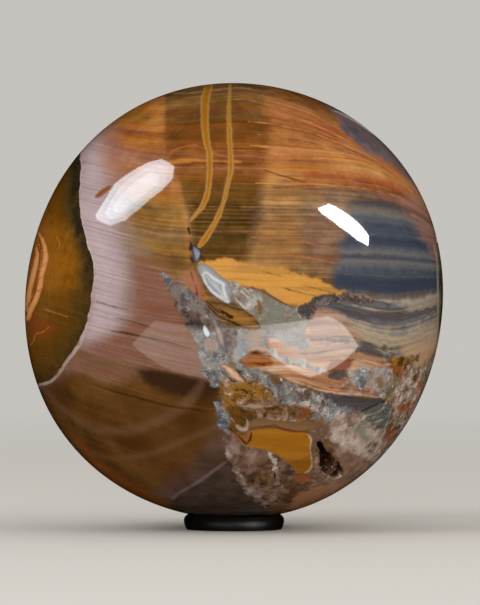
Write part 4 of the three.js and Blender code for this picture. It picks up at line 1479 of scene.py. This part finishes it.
def crust_mesh():
    """A thin, lumpy wall of quartz with small six-sided points, open towards the vug's mouth."""
    rng = np.random.default_rng(CRYSTAL_SEED)
    form = bmesh.new()
    bmesh.ops.create_icosphere(form, subdivisions=CRUST_FINENESS, radius=1)
    half_sizes = Vector((VUG_HALF_LENGTH, VUG_HALF_WIDTH, VUG_DEPTH)) - Vector((CRUST_INSET,) * 3)
    for vertex in form.verts:
        vertex.co = vertex.co * half_sizes * roughened(1, vertex.co, CRUST_LUMPS) * CRUST_FIT
    above = [v for v in form.verts if v.co.z > CRUST_TOP]
    bmesh.ops.delete(form, geom=above, context="VERTS")
    bmesh.ops.reverse_faces(form, faces=form.faces[:])
    bmesh.ops.solidify(form, geom=form.faces[:], thickness=CRUST_WALL)
    for i in range(CRYSTALS):
        height = -1 + CRYSTAL_BAND * (i + 0.5) / CRYSTALS
        out = math.sqrt(1 - height * height)
        turn = GOLDEN_ANGLE * i + rng.normal(0, CRYSTAL_SCATTER)
        foot = Vector((out * math.cos(turn), out * math.sin(turn), height)) * half_sizes * CRUST_FIT
        inwards = Vector((-foot.x * CRYSTAL_AIM, -foot.y, -foot.z))
        inwards += Vector(rng.normal(0, CRYSTAL_LEAN, 3))
        width, length = rng.uniform(*CRYSTAL_WIDTHS), rng.uniform(*CRYSTAL_LENGTHS)
        stand = inwards.to_track_quat("Z", "Y").to_matrix().to_4x4()
        place = Matrix.Translation(foot) @ stand @ Matrix.Translation((0, 0, length * CRYSTAL_FOOTING))
        bmesh.ops.create_cone(
            form, cap_ends=True, segments=6, radius1=width, radius2=width * CRYSTAL_TIP, depth=length,
            matrix=place,
        )
    depth = form.verts.layers.float.new("depth")
    for vertex in form.verts:
        vertex.co.z = min(vertex.co.z, CRYSTAL_TOP)
        vertex[depth] = -vertex.co.z
    to_world = Matrix.Scale(MM, 4) @ Matrix.Translation((0, 0, CENTRE_HEIGHT)) @ vug_frame()
    bmesh.ops.transform(form, matrix=to_world, verts=form.verts[:])
    mesh = as_mesh(form, "quartz_points")
    mesh.materials.append(drusy_quartz())
    return mesh


# The crust's colours by how deep a place is, in mm: iron brown, darkening to painted shade, near
# black, deep in the vug. Then its roughness, the fineness of its rust stains, in patches per mm, their
# finer detail, and how many mm deeper they make it look.
CRUST_COLOURS = (
    "depth", (0, "sand"), (2.0, "cocoa"), (3.4, "rust brown"), (5.5, "seal"), (8, "hollow shade"),
)
CRUST_ROUGHNESS = 0.22
STAIN_FINENESS, STAIN_DETAIL, STAIN_DEPTH = 0.7, 3, 2


def drusy_quartz():
    """Drusy quartz: a sparkling crust of tiny glassy points, stained brown by iron, and painted darker
    with depth as shade.
    """
    material, tree = new_material("drusy_quartz")
    here = node(tree, "ShaderNodeTexCoord").outputs["Object"]
    mm = node(tree, "ShaderNodeVectorMath", {"operation": "SCALE"}, {0: here, "Scale": 1 / MM})
    noise_links = {"Vector": mm.outputs[0], "Scale": STAIN_FINENESS, "Detail": STAIN_DETAIL}
    stain = node(tree, "ShaderNodeTexNoise", links=noise_links).outputs["Fac"]
    drawn = node(tree, "ShaderNodeAttribute", {"attribute_name": "depth"}).outputs["Fac"]
    summed = {0: stain, 1: STAIN_DEPTH, 2: drawn}
    deep = node(tree, "ShaderNodeMath", {"operation": "MULTIPLY_ADD"}, summed)
    colour = paint(tree, {"depth": deep.outputs[0]}, CRUST_COLOURS)
    links = {"Base Color": colour, "Roughness": CRUST_ROUGHNESS, "IOR": QUARTZ_IOR}
    shader = node(tree, "ShaderNodeBsdfPrincipled", links=links)
    node(tree, "ShaderNodeOutputMaterial", links={"Surface": shader.outputs[0]})
    return material


# The ring stand's section, in mm from its axis and from its foot.
RING_OUTER, RING_BORE, RING_RIM, RING_RIM_RADIUS, RING_FOOT_INSET = 12.0, 8.7, 3.7, 1.55, 0.7
RIM_TURN = math.radians(70)  # how far round the rim's arc goes
RIM_TOUCH = 11.0  # where the round rim meets the ball
SEAT_GAP = 0.01  # between the seat and the ball
WALL_STEPS, RIM_STEPS, SEAT_STEPS, RING_STEPS = 9, 10, 5, 128


def ball_height_over(x, y):
    """The height over the ring's foot at which the underside of the ball is, over some places."""
    drop = np.full(len(x), MEAN_RADIUS)
    for _ in range(8):  # each round comes closer to the ball's own radius there
        directions = unit(np.column_stack([x, y, -drop]))
        drop = np.sqrt(np.clip(ball_radius(directions) ** 2 - x * x - y * y, 0, None))
    return CENTRE_HEIGHT - drop


def ring_mesh():
    """A moulded ring: a flat foot, a round outer wall and rim, and a seat that fits the ball."""
    middle = RING_OUTER - RING_RIM_RADIUS
    section = [(RING_BORE, 0.0), (RING_OUTER - RING_FOOT_INSET, 0.0)]
    for i in range(1, WALL_STEPS):
        t = i / WALL_STEPS
        section.append((RING_OUTER - RING_FOOT_INSET * (1 - t) ** 2, (RING_RIM - RING_RIM_RADIUS) * t))
    for i in range(RIM_STEPS + 1):
        turn = RIM_TURN * i / RIM_STEPS
        section.append(
            (middle + RING_RIM_RADIUS * math.cos(turn), RING_RIM - RING_RIM_RADIUS * (1 - math.sin(turn)))
        )
    for i in range(1, SEAT_STEPS + 1):
        section.append((RIM_TOUCH - (RIM_TOUCH - RING_BORE) * i / SEAT_STEPS, RING_RIM))
    form = bmesh.new()
    verts = [form.verts.new((r, 0, z)) for r, z in section]
    edges = [form.edges.new((a, b)) for a, b in zip(verts, verts[1:] + verts[:1])]
    bmesh.ops.spin(
        form, geom=verts + edges, cent=(0, 0, 0), axis=(0, 0, 1), angle=math.tau, steps=RING_STEPS,
        use_merge=True,
    )
    bmesh.ops.recalc_face_normals(form, faces=form.faces[:])
    mesh = as_mesh(form, "moulded_ring")
    points = read_points(mesh)
    under_ball = ball_height_over(points[:, 0], points[:, 1]) - SEAT_GAP
    points[:, 2] = np.minimum(points[:, 2], under_ball)
    mesh.vertices.foreach_set("co", (points * MM).ravel())
    mesh.shade_smooth()
    mesh.materials.append(black_plastic())
    return mesh


# The plastic's colour and roughness where it is clearest and where it is hazed, how fine the haze is,
# in patches per mm, and its finer detail.
CLEAR_PLASTIC = ("#080706", 0.34)
HAZED_PLASTIC = ("#15120f", 0.5)
HAZE_FINENESS, HAZE_DETAIL = 1.2, 3
PLASTIC_IOR, PLASTIC_GLOSS = 1.59, 0.3


def black_plastic():
    """Polystyrene, injection moulded from a smooth tool: black with a soft gloss and a faint haze."""
    material, tree = new_material("black_moulded_polystyrene")
    here = node(tree, "ShaderNodeTexCoord").outputs["Object"]
    mm = node(tree, "ShaderNodeVectorMath", {"operation": "SCALE"}, {0: here, "Scale": 1 / MM})
    noise_links = {"Vector": mm.outputs[0], "Scale": HAZE_FINENESS, "Detail": HAZE_DETAIL}
    haze = node(tree, "ShaderNodeTexNoise", links=noise_links).outputs["Fac"]
    from_to = {0: haze, 1: NOISE_SPAN[0], 2: NOISE_SPAN[1], 3: CLEAR_PLASTIC[1], 4: HAZED_PLASTIC[1]}
    rough = node(tree, "ShaderNodeMapRange", links=from_to)
    clear, hazed = linear(CLEAR_PLASTIC[0]), linear(HAZED_PLASTIC[0])
    tone = node(tree, "ShaderNodeMix", MIX, {0: haze, 6: clear, 7: hazed})
    shader = node(
        tree, "ShaderNodeBsdfPrincipled",
        links={
            "Base Color": tone.outputs[2], "Roughness": rough.outputs[0], "IOR": PLASTIC_IOR,
            "Specular IOR Level": PLASTIC_GLOSS,
        },
    )
    node(tree, "ShaderNodeOutputMaterial", links={"Surface": shader.outputs[0]})
    return material


def add_piece(name, mesh, cad_node):
    """Puts a finished mesh in the scene in place of its solid."""
    piece = in_scene(name, mesh)
    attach(piece, "root")
    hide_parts(cad_node)


# The camera, level with the middle of the picture.
def mm_at_centre(pixel):
    """Where a pixel lies on the upright plane through the ball's centre, in mm from that centre."""
    across, up = pixel[0] - CENTRE_PIXEL[0], CENTRE_PIXEL[1] - pixel[1]
    return Vector((across * MM_PER_PIXEL, 0, up * MM_PER_PIXEL))


CAMERA_PLACE = mm_at_centre((PICTURE[0] / 2, PICTURE[1] / 2)) + Vector((0, -CAMERA_DISTANCE, 0))
SENSOR = 36.0  # mm
FARTHEST_SEEN = 100  # m


def add_camera():
    """The camera: far enough away, and with a lens long enough, to see the ball as in the picture."""
    camera = bpy.data.cameras.new("camera")
    camera.sensor_width = SENSOR
    camera.lens = SENSOR * CAMERA_DISTANCE / (PICTURE[1] * MM_PER_PIXEL)
    camera.clip_end = FARTHEST_SEEN
    stand = in_scene("camera", camera)
    stand.location = (CAMERA_PLACE + Vector((0, 0, CENTRE_HEIGHT))) * MM
    stand.rotation_euler = (math.radians(90), 0, 0)
    bpy.context.scene.camera = stand


# The lit panels and lamps.
def mirrored_ray(pixel):
    """The place on the ball that is seen at a pixel, and the way that the ball mirrors it."""
    ray = (mm_at_centre(pixel) - CAMERA_PLACE).normalized()
    reach = MEAN_RADIUS
    for _ in range(6):  # each round comes closer to where the ray meets the ball
        along = -CAMERA_PLACE.dot(ray)
        nearest = (CAMERA_PLACE + ray * along).length
        spot = CAMERA_PLACE + ray * (along - math.sqrt(max(reach * reach - nearest * nearest, 0)))
        reach = float(ball_radius(unit(np.array([spot])))[0])
    around = np.array(spot) + np.eye(3)
    slope = np.linalg.norm(around, axis=1) - ball_radius(unit(around)) - (spot.length - reach)
    normal = Vector(slope).normalized()
    return spot, ray - 2 * ray.dot(normal) * normal


def add_window(name, distance, outline, strength, changes=(), tone="#ffffff"):
    """A lit panel that is seen only in the polish, where its outline's pixels are mirrored. Each
    change says from which pixel to which its strength grows, and by how much."""
    facing = sum((mirrored_ray(pixel)[1] for pixel in outline), Vector()).normalized()

    def on_panel(pixel):
        spot, way = mirrored_ray(pixel)
        corner = spot + way * ((distance - spot.dot(facing)) / way.dot(facing))
        return (corner + Vector((0, 0, CENTRE_HEIGHT))) * MM

    form = bmesh.new()
    form.faces.new([form.verts.new(on_panel(pixel)) for pixel in outline])
    mesh = as_mesh(form, name)
    glow, tree = new_material(name)
    here = node(tree, "ShaderNodeTexCoord")
    across = node(tree, "ShaderNodeSeparateXYZ", links={0: here.outputs["Object"]}).outputs[0]
    for first, last, change in changes:
        from_to = {0: across, 1: on_panel(first).x, 2: on_panel(last).x, 4: change}
        grown = node(tree, "ShaderNodeMapRange", SMOOTH, from_to).outputs[0]
        strength = node(tree, "ShaderNodeMath", {"operation": "ADD"}, {0: grown, 1: strength}).outputs[0]
    light = node(tree, "ShaderNodeEmission", links={"Color": linear(tone), "Strength": strength})
    node(tree, "ShaderNodeOutputMaterial", links={"Surface": light.outputs[0]})
    mesh.materials.append(glow)
    panel = in_scene(name, mesh)
    panel.visible_camera = panel.visible_diffuse = panel.visible_shadow = False
    panel.visible_transmission = False


# The windows: name, distance in mm, outline, strength, changes of the strength, and tone.
SOFTBOX_TONE, SCREEN_TONE = "#e8f6ff", "#faf3ee"
WINDOWS = (
    (
        "left_softbox", 800,
        (
            (160, 160.5), (172.6, 167.7), (171, 180.5), (160, 192.6), (138.3, 210.7), (123.8, 222.8),
            (109.3, 228.1), (96.8, 222), (94.8, 217.5), (103.3, 203.5), (114.2, 185.4), (128.6, 174.5),
            (145.5, 164.8),
        ),
        7.2, (((95, 217), (172, 168), 2.0),), SOFTBOX_TONE,
    ),
    (
        "left_softbox_middle", 780,
        (
            (158, 166), (167, 171.5), (165, 183), (155, 193), (135, 208), (121, 218.5), (110, 222),
            (104, 216), (110, 203), (120, 188), (133, 177), (147, 168.5),
        ),
        10.5, (((104, 216), (167, 171), 1.0),), SOFTBOX_TONE,
    ),
    (
        "left_softbox_core", 760,
        (
            (150, 174), (158, 177), (157, 185), (149, 192), (133, 205), (121, 214.5), (113, 216),
            (112, 209), (121, 196), (135, 183),
        ),
        13.5, (((112, 209), (158, 177), 1.0),), SOFTBOX_TONE,
    ),
    (
        "right_softbox", 800,
        (
            (316.5, 210), (328, 205.5), (338, 210.5), (349, 218), (360, 227.5), (367.5, 237.5),
            (367, 247.5), (356, 241.5), (338, 228), (320, 214.5),
        ),
        45,
    ),
    (
        "front_screen", 800,
        (
            (131, 346), (153, 323), (215, 330), (261, 327), (326, 318), (340, 325), (357, 348),
            (343, 362), (330, 371), (308, 379), (290, 372), (272, 359), (252, 353), (238, 361),
            (226, 383), (165, 370),
        ),
        1.9, (((150, 346), (215, 346), -0.6), ((238, 340), (305, 340), 4.2)), SCREEN_TONE,
    ),
    (
        "rim_softbox", 800,
        (
            (330, 110), (346, 118), (370, 133), (398, 158), (416, 182), (428, 210), (436, 244),
            (439, 243), (431.5, 209), (419, 180), (401, 156), (372, 131), (347, 115.5),
        ),
        0.25,
    ),
)
# The lamps: name, place in m, width in m, and power in W.
LAMPS = (
    ("key", (-1.1, -0.9, 1.1), 1.0, 6.5),
    ("fill", (1.2, -0.9, 0.6), 1.2, 5),
    ("low", (-0.2, -1.3, 0.12), 0.8, 8.5),
)


def add_lamp(name, place, width, power):
    """A soft lamp that lights the stone without showing in its polish."""
    lamp = bpy.data.lights.new(name, "AREA")
    lamp.shape, lamp.size, lamp.energy = "DISK", width, power
    stand = in_scene(name, lamp)
    stand.location = place
    aim = Vector((0, 0, CENTRE_HEIGHT * MM)) - Vector(place)
    stand.rotation_euler = aim.to_track_quat("-Z", "Y").to_euler()
    stand.visible_glossy = False


# The floor and the air, all of one pale tone.
PAPER, SKY = "#e4e1dc", 0.72
PAPER_RADIUS, PAPER_SIDES = 20, 96  # m, and the sides of its round
PAPER_REACH = (0.2, 1.4)  # m over which the floor fades into the studio's air


def add_stage():
    """A wide sheet of pale paper, matt, that fades into the air around it."""
    form = bmesh.new()
    bmesh.ops.create_circle(form, cap_ends=True, segments=PAPER_SIDES, radius=PAPER_RADIUS)
    mesh = as_mesh(form, "floor")
    paper, tree = new_material("pale_paper")
    here = node(tree, "ShaderNodeTexCoord")
    far = node(tree, "ShaderNodeVectorMath", {"operation": "LENGTH"}, {0: here.outputs["Object"]})
    fade = {0: far.outputs["Value"], 1: PAPER_REACH[0], 2: PAPER_REACH[1]}
    haze = node(tree, "ShaderNodeMapRange", SMOOTH, fade)
    sheet = node(tree, "ShaderNodeBsdfDiffuse", links={"Color": linear(PAPER)})
    air = node(tree, "ShaderNodeEmission", links={"Color": linear(PAPER), "Strength": SKY})
    both = {0: haze.outputs[0], 1: sheet.outputs[0], 2: air.outputs[0]}
    mixed = node(tree, "ShaderNodeMixShader", links=both)
    node(tree, "ShaderNodeOutputMaterial", links={"Surface": mixed.outputs[0]})
    mesh.materials.append(paper)
    floor = in_scene("floor", mesh)
    floor.visible_glossy = False
    world = bpy.data.worlds.new("studio")
    bpy.context.scene.world = world
    world.use_nodes = True
    background = world.node_tree.nodes["Background"].inputs
    background[0].default_value = linear(PAPER)
    background[1].default_value = SKY
    world.cycles_visibility.glossy = False
    bpy.context.scene.view_settings.view_transform = "Standard"


add_camera()
add_stage()
for window in WINDOWS:
    add_window(*window)
for lamp in LAMPS:
    add_lamp(*lamp)
add_piece("polished_ball", polished_ball(), "stone")
add_piece("quartz_points", crust_mesh(), "vug_crystals")
add_piece("moulded_ring", ring_mesh(), "ring_stand")
